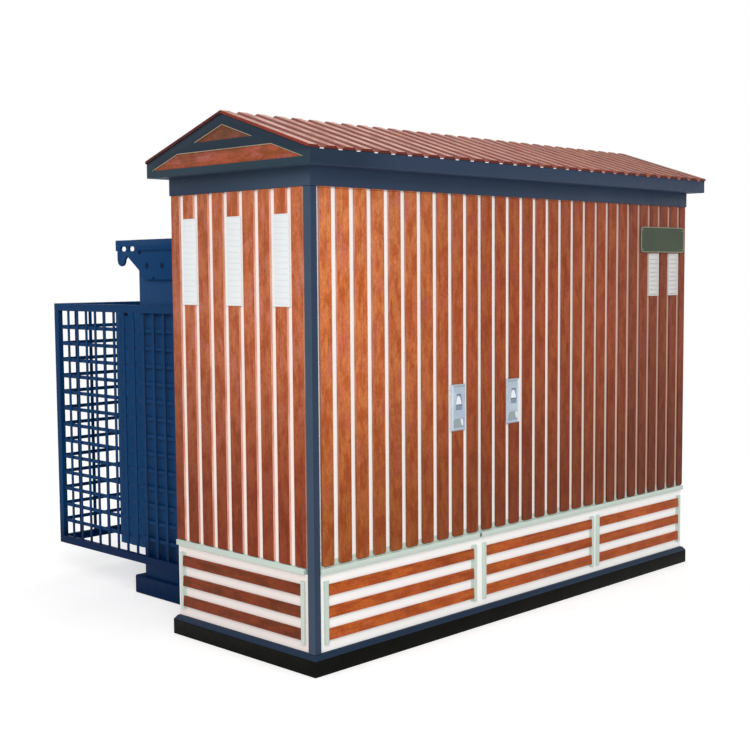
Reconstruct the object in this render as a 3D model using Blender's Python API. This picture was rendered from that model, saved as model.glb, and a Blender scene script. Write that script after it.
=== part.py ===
"""Compact substation.

A switchgear cabinet clad in timber-look boards stands on a black plinth, under a ribbed
gable roof. A transformer tank stands behind it, with two radiators inside a mesh guard.

X runs along the cabinet's front, the front faces -Y and Z is up. The origin is on the
ground, under the middle of the cabinet.
"""
import math

import bmesh
import bpy
from mathutils import Vector

# Gap between pieces that touch
CONTACT = 0.0003

# Heights of the cabinet's layers, from the ground up
PLINTH_HEIGHT = 0.067
SILL_HEIGHT = 0.019
BASE_HEIGHT = 0.324
RAIL_HEIGHT = 0.024
WALL_HEIGHT = 1.538
BAND_HEIGHT = 0.077
FASCIA_HEIGHT = 0.064
ROOF_RISE = 0.174

# Plan of the cabinet
BODY_LENGTH = 2.798
BODY_DEPTH = 0.920
PLINTH_REACH = 0.014
WALL_THICKNESS = 0.030
FACE_SETBACK = 0.012
POST_WIDTH = 0.036

# Boards that clad the walls and doors
BOARD_PITCH = 0.101
FIXED_BOARD_PITCH = 0.097
BOARD_GAP = 0.030
BOARD_THICKNESS = 0.010
BOARD_EDGE = 0.006
BOARD_CUT = 0.001
NARROWEST_BOARD = 0.050
SIDE_GAP_Y = 0.077

# Doors, their pivots and the seam where they meet
LEFT_DOOR_WIDTH = 1.003
RIGHT_DOOR_BOARDS = 9
DOOR_CLEARANCE = 0.005
SEAM_WIDTH = 0.006
JAMB_GAP = 0.0075
PIVOT_INSET = 0.014
PIVOT_SET = 0.002
PIVOT_RADIUS = 0.004
PIVOT_PLAY = 0.0003
PIVOT_REACH = 0.030
PIVOT_SIDES = 16

# Rail under the doors and the end walls
RAIL_REACH = 0.014
RAIL_GROOVE = 0.004
RAIL_STOP = 0.020

# Louvred base panels
PANEL_SEAM = 0.0006
SLAT_COUNT = 3
SLAT_HEIGHT = 0.046
SLAT_REACH = 0.012
SLAT_LIP = 0.001
SLAT_MARGIN_BELOW = 0.048
SLAT_MARGIN_ABOVE = 0.046
STRIP_WIDTH = 0.030
STRIP_REACH = 0.007
STRIP_MARGIN = 0.024
STRIP_OVERRUN = 0.016
WELD_ROOT = 0.004

# Louvred vents, each as wide as the board pitch
VENT_HEIGHT = 0.375
VENT_DROP = 0.104
VENT_BLADE_PITCH = 0.025
VENT_PLATE = 0.003
VENT_REACH = 0.011
VENT_BOARD_STEP = 3
SIDE_VENT_COUNT = 3
FRONT_VENT_COUNT = 2
FRONT_VENT_STEP = 2
VENT_SIGN_GAP = 0.005

# Sign plate
SIGN_MARGIN = 0.031
SIGN_WIDTH = 0.418
SIGN_DROP = 0.114
SIGN_HEIGHT = 0.134
SIGN_THICKNESS = 0.008
SIGN_CORNER = 0.016
CORNER_STEPS = 4

# Lock plates. The outlines are drawn from the middle of a plate's lower edge.
LOCK_WIDTH = 0.096
LOCK_HEIGHT = 0.210
LOCK_RISE = 0.485
LOCK_PROUD = 0.003
LOCK_RECESS = 0.008
LOCK_ROOT = 0.002
LEFT_LOCK_BOARD = -2
RIGHT_LOCK_BOARD = 2
RIGHT_LOCK_SHIFT = -0.012
LATCH_WINDOW = (
    (-0.020, 0.093), (0.020, 0.093), (0.020, 0.123),
    (0.014, 0.161), (-0.014, 0.161), (-0.020, 0.123),
)
LATCH_WEDGE = ((-0.014, 0.119), (0.014, 0.119), (0.004, 0.153), (-0.004, 0.153))
KEY_WINDOW = ((-0.036, 0.016), (0.030, 0.016), (0.030, 0.054), (-0.036, 0.054))
KEY_LEVER = ((0.004, 0.052), (0.016, 0.052), (0.020, 0.022), (0.014, 0.022))

# Header band and eave
HEADER_WIDTH = 0.045
EAVE_REACH_FRONT = 0.069
EAVE_REACH_END = 0.069
EAVE_SHEET = 0.020

# Gable ends
GABLE_THICKNESS = 0.006
GABLE_BEAM_HEIGHT = 0.031
BARGE_HEIGHT = 0.043
COLLAR_DROP = 0.107
COLLAR_HEIGHT = 0.037
INFILL_THICKNESS = 0.020

# Ribbed roof sheets
SHEET_THICKNESS = 0.004
SHEET_OVERHANG = 0.004
RIB_PITCH = 0.100
RIB_HEIGHT = 0.008
RIB_VALLEY = 0.030
RIB_SLANT = 0.012

# Transformer tank, its skid and its bolted cover
TANK_INSET = 0.314
TANK_DEPTH = 0.700
TANK_DROP = 0.301
TANK_CORNER = 0.010
SKID_HEIGHT = 0.093
SKID_REACH = 0.015
SKID_TAIL = 0.067
SKID_EDGE = 0.005
COVER_THICKNESS = 0.024
COVER_SETBACK = 0.005

# Lifting lugs on the tank's sides. Lengths run back from the tank's back, drops run down from the lug's top.
LUG_THICKNESS = 0.012
LUG_RISE = 0.052
LUG_HEIGHT = 0.198
LUG_LENGTH_FRONT = 0.358
LUG_LENGTH_BACK = 0.176
LUG_BAR_HEIGHT = 0.053
LUG_LIP_REACH = 0.010
LUG_LIP_SETBACK = 0.008
LUG_TAB_INSET = 0.014
LUG_TAB_WIDTH = 0.065
LUG_TAB_DROP = 0.131
LUG_NOTCH = (0.078, 0.079)
LUG_HIP = (-0.021, 0.150)
LUG_HEEL = -0.063
LUG_SLOT_PLACES = (0.038, 0.110)
LUG_SLOT_DROP = 0.044
LUG_SLOT_LENGTH = 0.050
LUG_SLOT_HEIGHT = 0.024
TIP_STEPS = 6
SLOT_STEPS = 4

# Radiators
FIRST_PLATE_X = 0.145
PLATE_PITCH = 0.070
PLATE_MARGIN = 0.090
PLATE_STANDOFF = 0.037
PLATE_DEPTH = 0.310
PLATE_RISE = 0.112
PLATE_DROP = 0.313
PLATE_THICKNESS = 0.008
FLUTE_COUNT = 4
FLUTE_DEPTH = 0.006
HEADER_PIPE_RADIUS = 0.028
HEADER_PIPE_INSET = 0.050
HEADER_PIPE_OVERRUN = 0.024
STUB_RADIUS = 0.022
STUB_PLATES = 2.5
PIPE_SIDES = 10

# Mesh guard
GUARD_SETBACK = 0.012
GUARD_LENGTH = 0.756
GUARD_RISE = 0.072
GUARD_DROP = 0.273
GUARD_FRAME = 0.040
BACK_GUARD_SIDE = 0.012
GUARD_DEPTH = 0.025
WIRE_WIDTH = 0.012
WIRE_DEPTH = 0.008
MESH_SIZE = 0.176

# Levels that follow from the heights
PLINTH_TOP = PLINTH_HEIGHT
SILL_TOP = PLINTH_TOP + SILL_HEIGHT
RAIL_BOTTOM = SILL_TOP + BASE_HEIGHT
RAIL_TOP = RAIL_BOTTOM + RAIL_HEIGHT
BAND_BOTTOM = RAIL_TOP + WALL_HEIGHT
EAVE_BOTTOM = BAND_BOTTOM + BAND_HEIGHT
EAVE_TOP = EAVE_BOTTOM + FASCIA_HEIGHT
RIDGE_TOP = EAVE_TOP + ROOF_RISE
VENT_TOP = BAND_BOTTOM - VENT_DROP
VENT_BOTTOM = VENT_TOP - VENT_HEIGHT
SIGN_BOTTOM = BAND_BOTTOM - SIGN_DROP - SIGN_HEIGHT
LOCK_BOTTOM = RAIL_TOP + LOCK_RISE
TANK_TOP = EAVE_BOTTOM - TANK_DROP
LUG_TOP = TANK_TOP + LUG_RISE
PLATE_BOTTOM = SKID_HEIGHT + PLATE_RISE
PLATE_TOP = TANK_TOP - PLATE_DROP
GUARD_BOTTOM = SKID_HEIGHT + GUARD_RISE
GUARD_TOP = TANK_TOP - GUARD_DROP

# Places that follow from the plan
HALF_LENGTH = BODY_LENGTH / 2
HALF_DEPTH = BODY_DEPTH / 2
END_FACE = HALF_LENGTH - FACE_SETBACK
FRONT_FACE = HALF_DEPTH - FACE_SETBACK
END_BOARDS = END_FACE + BOARD_THICKNESS
FRONT_BOARDS = FRONT_FACE + BOARD_THICKNESS
WALL_BACK = FRONT_FACE - WALL_THICKNESS
WALL_INSIDE = END_FACE - WALL_THICKNESS
POST_INNER_X = -HALF_LENGTH + POST_WIDTH
POST_INNER_Y = -WALL_BACK
DOOR_SEAM_X = POST_INNER_X + LEFT_DOOR_WIDTH
FIXED_SEAM_X = DOOR_SEAM_X + RIGHT_DOOR_BOARDS * BOARD_PITCH
PIVOT_Y = -(FRONT_FACE + PIVOT_SET)
LEFT_PIVOT_X = POST_INNER_X + JAMB_GAP + PIVOT_INSET
RIGHT_PIVOT_X = FIXED_SEAM_X - JAMB_GAP / 2 - PIVOT_INSET
SEAM_MARGIN = (BOARD_GAP - SEAM_WIDTH) / 2
JAMB_MARGIN = (BOARD_GAP - JAMB_GAP) / 2
SIGN_LEFT = END_BOARDS - SIGN_MARGIN - SIGN_WIDTH
EAVE_Y = HALF_DEPTH + EAVE_REACH_FRONT
EAVE_X = HALF_LENGTH + EAVE_REACH_END
ROOF_SLOPE = ROOF_RISE / EAVE_Y
TANK_HALF_WIDTH = HALF_LENGTH - TANK_INSET
TANK_FRONT = FRONT_BOARDS + CONTACT
TANK_BACK = TANK_FRONT + TANK_DEPTH
PLATE_FRONT = TANK_BACK + PLATE_STANDOFF
GUARD_FRONT = TANK_FRONT + GUARD_SETBACK
GUARD_BACK = TANK_BACK + GUARD_LENGTH

ALONG_X = Vector((1, 0, 0))
ALONG_Y = Vector((0, 1, 0))
UP = Vector((0, 0, 1))

# Sides of the cabinet: the way along it, the way out of it, and how far out its sheet face lies
FRONT_SIDE = (ALONG_X, -ALONG_Y, FRONT_FACE)
BACK_SIDE = (ALONG_X, ALONG_Y, FRONT_FACE)
LEFT_SIDE = (ALONG_Y, -ALONG_X, END_FACE)
RIGHT_SIDE = (ALONG_Y, ALONG_X, END_FACE)


def clear_scene():
    """Remove what the file holds, so that the script can be run again."""
    for item in list(bpy.data.objects):
        bpy.data.objects.remove(item, do_unlink=True)


def finish(name, colour, roughness, metallic=0.0):
    """Return a material with one plain finish."""
    material = bpy.data.materials.new(name)
    material.use_nodes = True
    shader = material.node_tree.nodes["Principled BSDF"]
    shader.inputs["Base Color"].default_value = (*colour, 1.0)
    shader.inputs["Roughness"].default_value = roughness
    shader.inputs["Metallic"].default_value = metallic
    material.diffuse_color = (*colour, 1.0)
    return material


def add_piece(name, shape, origin, material):
    """Turn a shape drawn in the part's frame into an object with its own origin."""
    origin = Vector(origin)
    bmesh.ops.translate(shape, vec=-origin, verts=shape.verts)
    bmesh.ops.recalc_face_normals(shape, faces=shape.faces)
    mesh = bpy.data.meshes.new(name)
    shape.to_mesh(mesh)
    shape.free()
    piece = bpy.data.objects.new(name, mesh)
    piece.location = origin
    bpy.context.scene.collection.objects.link(piece)
    mesh.materials.append(material.copy())
    return piece


def combine(piece, shape, operation):
    """Cut a shape from a piece, or join it to the piece."""
    tool = add_piece("tool", shape, (0, 0, 0), piece.data.materials[0])
    modifier = piece.modifiers.new(operation, "BOOLEAN")
    modifier.object = tool
    modifier.operation = operation
    modifier.solver = "EXACT"
    bpy.context.view_layer.update()
    graph = bpy.context.evaluated_depsgraph_get()
    result = bpy.data.meshes.new_from_object(piece.evaluated_get(graph))
    piece.modifiers.clear()
    piece.data = result
    bpy.data.objects.remove(tool, do_unlink=True)


def box(low, high):
    """Return a closed box between two corners."""
    shape = bmesh.new()
    low = Vector(low)
    high = Vector(high)
    bmesh.ops.create_cube(shape, size=1.0)
    bmesh.ops.scale(shape, vec=high - low, verts=shape.verts)
    bmesh.ops.translate(shape, vec=(low + high) / 2, verts=shape.verts)
    return shape


def extruded(points, reach):
    """Return the solid that an outline makes when it is moved along a vector."""
    shape = bmesh.new()
    corners = [shape.verts.new(point) for point in points]
    face = shape.faces.new(corners)
    result = bmesh.ops.extrude_face_region(shape, geom=[face])
    moved = [item for item in result["geom"] if isinstance(item, bmesh.types.BMVert)]
    bmesh.ops.translate(shape, vec=Vector(reach), verts=moved)
    return shape


def tube(start, end, radius, sides):
    """Return a closed round bar between two points."""
    start = Vector(start)
    end = Vector(end)
    direction = end - start
    shape = bmesh.new()
    bmesh.ops.create_cone(
        shape, cap_ends=True, segments=sides, radius1=radius, radius2=radius, depth=direction.length
    )
    turn = direction.to_track_quat("Z", "Y").to_matrix()
    bmesh.ops.rotate(shape, matrix=turn, verts=shape.verts)
    bmesh.ops.translate(shape, vec=(start + end) / 2, verts=shape.verts)
    return shape


def arc(centre, radius, start, sweep, steps):
    """Return the points along an arc, from one angle through a sweep."""
    angles = [start + sweep * step / steps for step in range(steps + 1)]
    return [(centre[0] + radius * math.cos(angle), centre[1] + radius * math.sin(angle)) for angle in angles]


def place(side, run, rise, level):
    """Return the point at a run along a side, a rise off its sheet face and a level."""
    along, outward, face = side
    return along * run + outward * (face + rise) + UP * level


def gap_centres(anchor, pitch, span):
    """Return the centres of the board gaps between two ends, stepping from the anchor."""
    low, high = span
    first = math.ceil((low + NARROWEST_BOARD - anchor) / pitch)
    last = math.floor((high - NARROWEST_BOARD - anchor) / pitch)
    return [anchor + step * pitch for step in range(first, last + 1)]


def board_centre(anchor, pitch, board):
    """Return the middle of a board, counted from the anchor gap."""
    return anchor + (board + 0.5) * pitch


def boarded_outline(span, gaps, margins):
    """Return run and rise of each corner of a wall whose outer face carries raised boards."""
    start, end = span
    edges = [start + margins[0]]
    for centre in gaps:
        edges += [centre - BOARD_GAP / 2, centre + BOARD_GAP / 2]
    edges.append(end - margins[1])
    outline = [(start, -WALL_THICKNESS), (start, 0)]
    for left, right in zip(edges[::2], edges[1::2]):
        outline += [(left, 0), (left, BOARD_THICKNESS), (right, BOARD_THICKNESS), (right, 0)]
    return outline + [(end, 0), (end, -WALL_THICKNESS)]


def boarded_wall(name, side, span, levels, gaps, material, origin=None, margins=(BOARD_EDGE, BOARD_EDGE)):
    """Build a wall of boards on a sheet backing, which shows by a margin at each end."""
    bottom, top = levels
    points = [place(side, run, rise, bottom) for run, rise in boarded_outline(span, gaps, margins)]
    shape = extruded(points, UP * (top - bottom))
    if origin is None:
        origin = place(side, span[0], 0, bottom)
    return add_piece(name, shape, origin, material)


def clear_boards(wall, side, centre, width, levels):
    """Cut the boards away where a vent or a lock plate sits."""
    first = place(side, centre - width / 2, -BOARD_CUT, levels[0])
    second = place(side, centre + width / 2, 2 * BOARD_THICKNESS, levels[1])
    low = [min(pair) for pair in zip(first, second)]
    high = [max(pair) for pair in zip(first, second)]
    combine(wall, box(low, high), "DIFFERENCE")


def louvre_vent(name, side, centre, width, levels, material):
    """Build a pressed vent whose blades each lean out over the one below."""
    bottom, top = levels
    blades = round((top - bottom) / VENT_BLADE_PITCH)
    pitch = (top - bottom - 2 * CONTACT) / blades
    back = CONTACT - BOARD_CUT
    outline = [(back, bottom + CONTACT)]
    for blade in range(blades):
        foot = bottom + CONTACT + blade * pitch
        outline += [(VENT_REACH, foot), (VENT_PLATE, foot + pitch)]
    outline.append((back, top - CONTACT))
    start = centre - width / 2 + CONTACT
    points = [place(side, start, rise, level) for rise, level in outline]
    shape = extruded(points, side[0] * (width - 2 * CONTACT))
    return add_piece(name, shape, place(side, centre, 0, bottom), material)


def build_plinth(black, navy):
    """Build the black plinth and the floor pan on it, whose edge is the sloped sill."""
    reach_x = HALF_LENGTH + PLINTH_REACH
    reach_y = HALF_DEPTH + PLINTH_REACH
    shape = box((-reach_x, -reach_y, 0), (reach_x, reach_y, PLINTH_TOP))
    add_piece("plinth", shape, (0, 0, 0), black)
    shape = box((-reach_x, -reach_y, PLINTH_TOP + CONTACT), (reach_x, reach_y, SILL_TOP))
    for corner in shape.verts:
        if corner.co.z > PLINTH_TOP + 2 * CONTACT:
            corner.co.x *= HALF_LENGTH / reach_x
            corner.co.y *= HALF_DEPTH / reach_y
    add_piece("floor_pan", shape, (0, 0, PLINTH_TOP), navy)


def build_post(navy):
    """Build the navy post at the left front corner."""
    low = (-HALF_LENGTH, -HALF_DEPTH, SILL_TOP + CONTACT)
    high = (POST_INNER_X, POST_INNER_Y, BAND_BOTTOM - CONTACT)
    add_piece("corner_post", box(low, high), low, navy)


def slatted_panel(name, side, span, material):
    """Build a base panel with louvre slats between two upright strips."""
    start, end = span
    bottom = SILL_TOP + CONTACT
    top = RAIL_BOTTOM - CONTACT
    outline = [(start, -WALL_THICKNESS), (end, -WALL_THICKNESS), (end, 0), (start, 0)]
    points = [place(side, run, rise, bottom) for run, rise in outline]
    panel = add_piece(name, extruded(points, UP * (top - bottom)), points[0], material)
    first_slat = SILL_TOP + SLAT_MARGIN_BELOW
    last_slat = RAIL_BOTTOM - SLAT_MARGIN_ABOVE - SLAT_HEIGHT
    strips = (start + STRIP_MARGIN, end - STRIP_MARGIN - STRIP_WIDTH)
    foot = first_slat - STRIP_OVERRUN
    head = last_slat + SLAT_HEIGHT + STRIP_OVERRUN
    for left in strips:
        right = left + STRIP_WIDTH
        outline = [(left, -WELD_ROOT), (right, -WELD_ROOT), (right, STRIP_REACH), (left, STRIP_REACH)]
        points = [place(side, run, rise, foot) for run, rise in outline]
        combine(panel, extruded(points, UP * (head - foot)), "UNION")
    run = strips[0] + STRIP_WIDTH / 2
    for slat in range(SLAT_COUNT):
        low = first_slat + (last_slat - first_slat) * slat / (SLAT_COUNT - 1)
        high = low + SLAT_HEIGHT
        outline = [(-WELD_ROOT, low), (SLAT_REACH, low), (SLAT_LIP, high), (-WELD_ROOT, high)]
        points = [place(side, run, rise, level) for rise, level in outline]
        combine(panel, extruded(points, side[0] * (strips[1] - strips[0])), "UNION")


def build_base_panels(white):
    """Build the louvred panels below the rail on the front and both ends."""
    half = PANEL_SEAM / 2
    spans = {
        "front_base_panel_left": (POST_INNER_X + CONTACT, DOOR_SEAM_X - half),
        "front_base_panel_middle": (DOOR_SEAM_X + half, FIXED_SEAM_X - half),
        "front_base_panel_right": (FIXED_SEAM_X + half, END_BOARDS),
    }
    for name, span in spans.items():
        slatted_panel(name, FRONT_SIDE, span, white)
    slatted_panel("left_base_panel", LEFT_SIDE, (POST_INNER_Y + CONTACT, FRONT_BOARDS), white)
    slatted_panel("right_base_panel", RIGHT_SIDE, (-WALL_BACK + CONTACT, FRONT_BOARDS), white)


def pivot(x, level, direction):
    """Return a pivot pin that stands out of a rail at one level, up or down."""
    root = (x, PIVOT_Y, level - direction * PIVOT_RADIUS)
    tip = (x, PIVOT_Y, level + direction * PIVOT_REACH)
    return tube(root, tip, PIVOT_RADIUS, PIVOT_SIDES)


def build_rails(pale):
    """Build the pale rail between the base panels and the boards, with the lower pivots."""
    outer = FRONT_FACE + RAIL_REACH
    low = (POST_INNER_X + CONTACT, -outer, RAIL_BOTTOM)
    high = (END_BOARDS, -WALL_BACK, RAIL_TOP)
    rail = add_piece("front_rail", box(low, high), low, pale)
    half = RAIL_GROOVE / 2
    groove_low = (DOOR_SEAM_X - half, -outer - RAIL_GROOVE, RAIL_BOTTOM - RAIL_GROOVE)
    groove_high = (DOOR_SEAM_X + half, -outer + RAIL_GROOVE, RAIL_TOP + RAIL_GROOVE)
    combine(rail, box(groove_low, groove_high), "DIFFERENCE")
    for x in (LEFT_PIVOT_X, RIGHT_PIVOT_X):
        combine(rail, pivot(x, RAIL_TOP, 1), "UNION")
    reach = END_FACE + RAIL_REACH
    low = (-reach, POST_INNER_Y + RAIL_STOP, RAIL_BOTTOM)
    add_piece("left_rail", box(low, (-WALL_INSIDE, FRONT_BOARDS, RAIL_TOP)), low, pale)
    low = (WALL_INSIDE, -WALL_BACK + RAIL_STOP, RAIL_BOTTOM)
    add_piece("right_rail", box(low, (reach, FRONT_BOARDS, RAIL_TOP)), low, pale)


def build_door(name, span, margins, pivot_x, lock_x, timber):
    """Build a door leaf that turns on two pins, with the boards cleared for its lock."""
    levels = (RAIL_TOP + DOOR_CLEARANCE, BAND_BOTTOM - DOOR_CLEARANCE)
    gaps = gap_centres(DOOR_SEAM_X, BOARD_PITCH, span)
    origin = (pivot_x, PIVOT_Y, levels[0])
    leaf = boarded_wall(name, FRONT_SIDE, span, levels, gaps, timber, origin, margins)
    for level, direction in ((RAIL_TOP, 1), (BAND_BOTTOM, -1)):
        root = (pivot_x, PIVOT_Y, level)
        tip = (pivot_x, PIVOT_Y, level + direction * (PIVOT_REACH + DOOR_CLEARANCE))
        combine(leaf, tube(root, tip, PIVOT_RADIUS + PIVOT_PLAY, PIVOT_SIDES), "DIFFERENCE")
    clear_boards(leaf, FRONT_SIDE, lock_x, LOCK_WIDTH, (LOCK_BOTTOM, LOCK_BOTTOM + LOCK_HEIGHT))
    return leaf


def build_lock(name, centre, metal):
    """Build a flush lock plate with its latch, its key lever and their recesses."""
    back = CONTACT - BOARD_CUT
    front = BOARD_THICKNESS + LOCK_PROUD
    floor = front - LOCK_RECESS
    inner = LOCK_WIDTH / 2 - CONTACT
    low = place(FRONT_SIDE, centre - inner, front, LOCK_BOTTOM + CONTACT)
    high = place(FRONT_SIDE, centre + inner, back, LOCK_BOTTOM + LOCK_HEIGHT - CONTACT)
    plate = add_piece(name, box(low, high), place(FRONT_SIDE, centre, back, LOCK_BOTTOM), metal)
    windows = ((LATCH_WINDOW, LATCH_WEDGE), (KEY_WINDOW, KEY_LEVER))
    for window, handle in windows:
        points = [place(FRONT_SIDE, centre + x, front + LOCK_RECESS, LOCK_BOTTOM + z) for x, z in window]
        combine(plate, extruded(points, ALONG_Y * 2 * LOCK_RECESS), "DIFFERENCE")
        points = [place(FRONT_SIDE, centre + x, floor - LOCK_ROOT, LOCK_BOTTOM + z) for x, z in handle]
        combine(plate, extruded(points, -ALONG_Y * LOCK_RECESS), "UNION")
    return plate


def build_doors(timber, metal):
    """Build both door leaves and their lock plates."""
    half = SEAM_WIDTH / 2
    left_span = (POST_INNER_X + JAMB_GAP, DOOR_SEAM_X - half)
    right_span = (DOOR_SEAM_X + half, FIXED_SEAM_X - JAMB_GAP / 2)
    left_lock_x = board_centre(DOOR_SEAM_X, BOARD_PITCH, LEFT_LOCK_BOARD)
    right_lock_x = board_centre(DOOR_SEAM_X, BOARD_PITCH, RIGHT_LOCK_BOARD) + RIGHT_LOCK_SHIFT
    leaves = (
        ("left", left_span, (BOARD_EDGE, SEAM_MARGIN), LEFT_PIVOT_X, left_lock_x),
        ("right", right_span, (SEAM_MARGIN, JAMB_MARGIN), RIGHT_PIVOT_X, right_lock_x),
    )
    for side, span, margins, pivot_x, lock_x in leaves:
        door = build_door(f"{side}_door", span, margins, pivot_x, lock_x, timber)
        lock = build_lock(f"{side}_lock_plate", lock_x, metal)
        lock.location = lock.location - door.location
        lock.parent = door


def build_fixed_panel(timber, vent_white, sign_green):
    """Build the fixed front panel with its two vents and the bare sign plate."""
    span = (FIXED_SEAM_X + JAMB_GAP / 2, END_BOARDS)
    levels = (RAIL_TOP + CONTACT, BAND_BOTTOM - CONTACT)
    pitch = FIXED_BOARD_PITCH
    gaps = gap_centres(FIXED_SEAM_X, pitch, span)
    margins = (JAMB_MARGIN, BOARD_EDGE)
    panel = boarded_wall("front_fixed_panel", FRONT_SIDE, span, levels, gaps, timber, margins=margins)
    vent_levels = (VENT_BOTTOM, SIGN_BOTTOM - VENT_SIGN_GAP)
    last_board = len(gaps) - 1
    for number in range(FRONT_VENT_COUNT):
        board = last_board - (FRONT_VENT_COUNT - 1 - number) * FRONT_VENT_STEP
        centre = board_centre(FIXED_SEAM_X, pitch, board)
        clear_boards(panel, FRONT_SIDE, centre, pitch, vent_levels)
        louvre_vent(f"front_vent_{number + 1}", FRONT_SIDE, centre, pitch, vent_levels, vent_white)
    build_sign(sign_green)


def rounded_rectangle(width, height, corner):
    """Return the outline of a rectangle with round corners, from its lower left corner."""
    right = width - corner
    top = height - corner
    points = []
    for quarter, centre in enumerate(((right, top), (corner, top), (corner, corner), (right, corner))):
        points += arc(centre, corner, quarter * math.pi / 2, math.pi / 2, CORNER_STEPS)
    return points


def build_sign(sign_green):
    """Build the bare sign plate with round corners."""
    back = BOARD_THICKNESS + CONTACT
    outline = rounded_rectangle(SIGN_WIDTH, SIGN_HEIGHT, SIGN_CORNER)
    points = [place(FRONT_SIDE, SIGN_LEFT + x, back, SIGN_BOTTOM + z) for x, z in outline]
    shape = extruded(points, -ALONG_Y * SIGN_THICKNESS)
    add_piece("sign_plate", shape, place(FRONT_SIDE, SIGN_LEFT, back, SIGN_BOTTOM), sign_green)


def build_end_wall(name, side, start, timber, vent_white):
    """Build one end wall with its vents."""
    span = (start, FRONT_BOARDS)
    levels = (RAIL_TOP + CONTACT, BAND_BOTTOM - CONTACT)
    gaps = gap_centres(SIDE_GAP_Y, BOARD_PITCH, span)
    wall = boarded_wall(f"{name}_end_wall", side, span, levels, gaps, timber)
    vent_levels = (VENT_BOTTOM, VENT_TOP)
    for number in range(SIDE_VENT_COUNT):
        board = (number - SIDE_VENT_COUNT // 2) * VENT_BOARD_STEP - 1
        centre = board_centre(SIDE_GAP_Y, BOARD_PITCH, board)
        clear_boards(wall, side, centre, BOARD_PITCH, vent_levels)
        louvre_vent(f"{name}_vent_{number + 1}", side, centre, BOARD_PITCH, vent_levels, vent_white)


def build_back_wall(timber):
    """Build the wall between the cabinet and the tank."""
    span = (-WALL_INSIDE + CONTACT, WALL_INSIDE - CONTACT)
    levels = (SILL_TOP + CONTACT, BAND_BOTTOM - CONTACT)
    boarded_wall("back_wall", BACK_SIDE, span, levels, gap_centres(DOOR_SEAM_X, BOARD_PITCH, span), timber)


def build_header(navy):
    """Build the band that rings the cabinet under the eave, with the upper pivots."""
    low = Vector((-HALF_LENGTH, -HALF_DEPTH, BAND_BOTTOM))
    high = Vector((HALF_LENGTH, HALF_DEPTH, EAVE_BOTTOM - CONTACT))
    inset = Vector((HEADER_WIDTH, HEADER_WIDTH, -HEADER_WIDTH))
    band = add_piece("header_band", box(low, high), (0, 0, BAND_BOTTOM), navy)
    combine(band, box(low + inset, high - inset), "DIFFERENCE")
    for x in (LEFT_PIVOT_X, RIGHT_PIVOT_X):
        combine(band, pivot(x, BAND_BOTTOM, -1), "UNION")


def roof_line(y):
    """Return the height of the roof's frame at a distance from the ridge."""
    return RIDGE_TOP - ROOF_SLOPE * abs(y)


def build_eave(navy):
    """Build the soffit with its upstanding front and back fascias."""
    inner = EAVE_Y - EAVE_SHEET
    floor = EAVE_BOTTOM + EAVE_SHEET
    outline = [
        (-EAVE_Y, EAVE_BOTTOM), (EAVE_Y, EAVE_BOTTOM), (EAVE_Y, EAVE_TOP), (inner, roof_line(inner)),
        (inner, floor), (-inner, floor), (-inner, roof_line(inner)), (-EAVE_Y, EAVE_TOP),
    ]
    half = EAVE_X - GABLE_THICKNESS - CONTACT
    points = [(-half, y, z) for y, z in outline]
    add_piece("eave_tray", extruded(points, ALONG_X * 2 * half), (0, 0, EAVE_BOTTOM), navy)


def gable_windows():
    """Return the two windows in a gable frame, above and below its collar bar."""
    apex = RIDGE_TOP - BARGE_HEIGHT
    collar_top = RIDGE_TOP - COLLAR_DROP
    collar_bottom = collar_top - COLLAR_HEIGHT
    beam_top = EAVE_BOTTOM + GABLE_BEAM_HEIGHT
    upper, middle, lower = [(apex - level) / ROOF_SLOPE for level in (collar_top, collar_bottom, beam_top)]
    triangle = [(-upper, collar_top), (upper, collar_top), (0, apex)]
    trapezoid = [(-lower, beam_top), (lower, beam_top), (middle, collar_bottom), (-middle, collar_bottom)]
    return triangle, trapezoid


def build_gable(name, sign, navy, timber):
    """Build one gable frame and the timber-look board behind its two windows."""
    inner = sign * (EAVE_X - GABLE_THICKNESS)
    outward = ALONG_X * sign * GABLE_THICKNESS
    outline = [(-EAVE_Y, EAVE_TOP), (-EAVE_Y, EAVE_BOTTOM), (EAVE_Y, EAVE_BOTTOM), (EAVE_Y, EAVE_TOP)]
    outline.append((0, RIDGE_TOP))
    points = [(inner, y, z) for y, z in outline]
    frame = add_piece(f"{name}_gable_frame", extruded(points, outward), (inner, 0, EAVE_BOTTOM), navy)
    for window in gable_windows():
        points = [Vector((inner, y, z)) - outward for y, z in window]
        combine(frame, extruded(points, outward * 3), "DIFFERENCE")
    half = EAVE_Y - EAVE_SHEET - CONTACT
    floor = EAVE_BOTTOM + EAVE_SHEET + CONTACT
    shoulder = roof_line(half) - CONTACT
    outline = [(-half, floor), (half, floor), (half, shoulder), (0, RIDGE_TOP - CONTACT), (-half, shoulder)]
    face = inner - sign * CONTACT
    points = [(face, y, z) for y, z in outline]
    shape = extruded(points, -ALONG_X * sign * INFILL_THICKNESS)
    add_piece(f"{name}_gable_infill", shape, (face, 0, EAVE_BOTTOM), timber)


def rib_profile():
    """Return the cross-section of a roof sheet, as distance along X and height above the frame."""
    half = EAVE_X + SHEET_OVERHANG
    count = math.floor(half / RIB_PITCH)
    top = SHEET_THICKNESS + RIB_HEIGHT
    profile = [(half, 0), (-half, 0), (-half, SHEET_THICKNESS)]
    for step in range(-count, count):
        left = step * RIB_PITCH + RIB_VALLEY / 2
        right = (step + 1) * RIB_PITCH - RIB_VALLEY / 2
        profile += [(left, SHEET_THICKNESS), (left + RIB_SLANT, top)]
        profile += [(right - RIB_SLANT, top), (right, SHEET_THICKNESS)]
    profile.append((half, SHEET_THICKNESS))
    return profile


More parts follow.
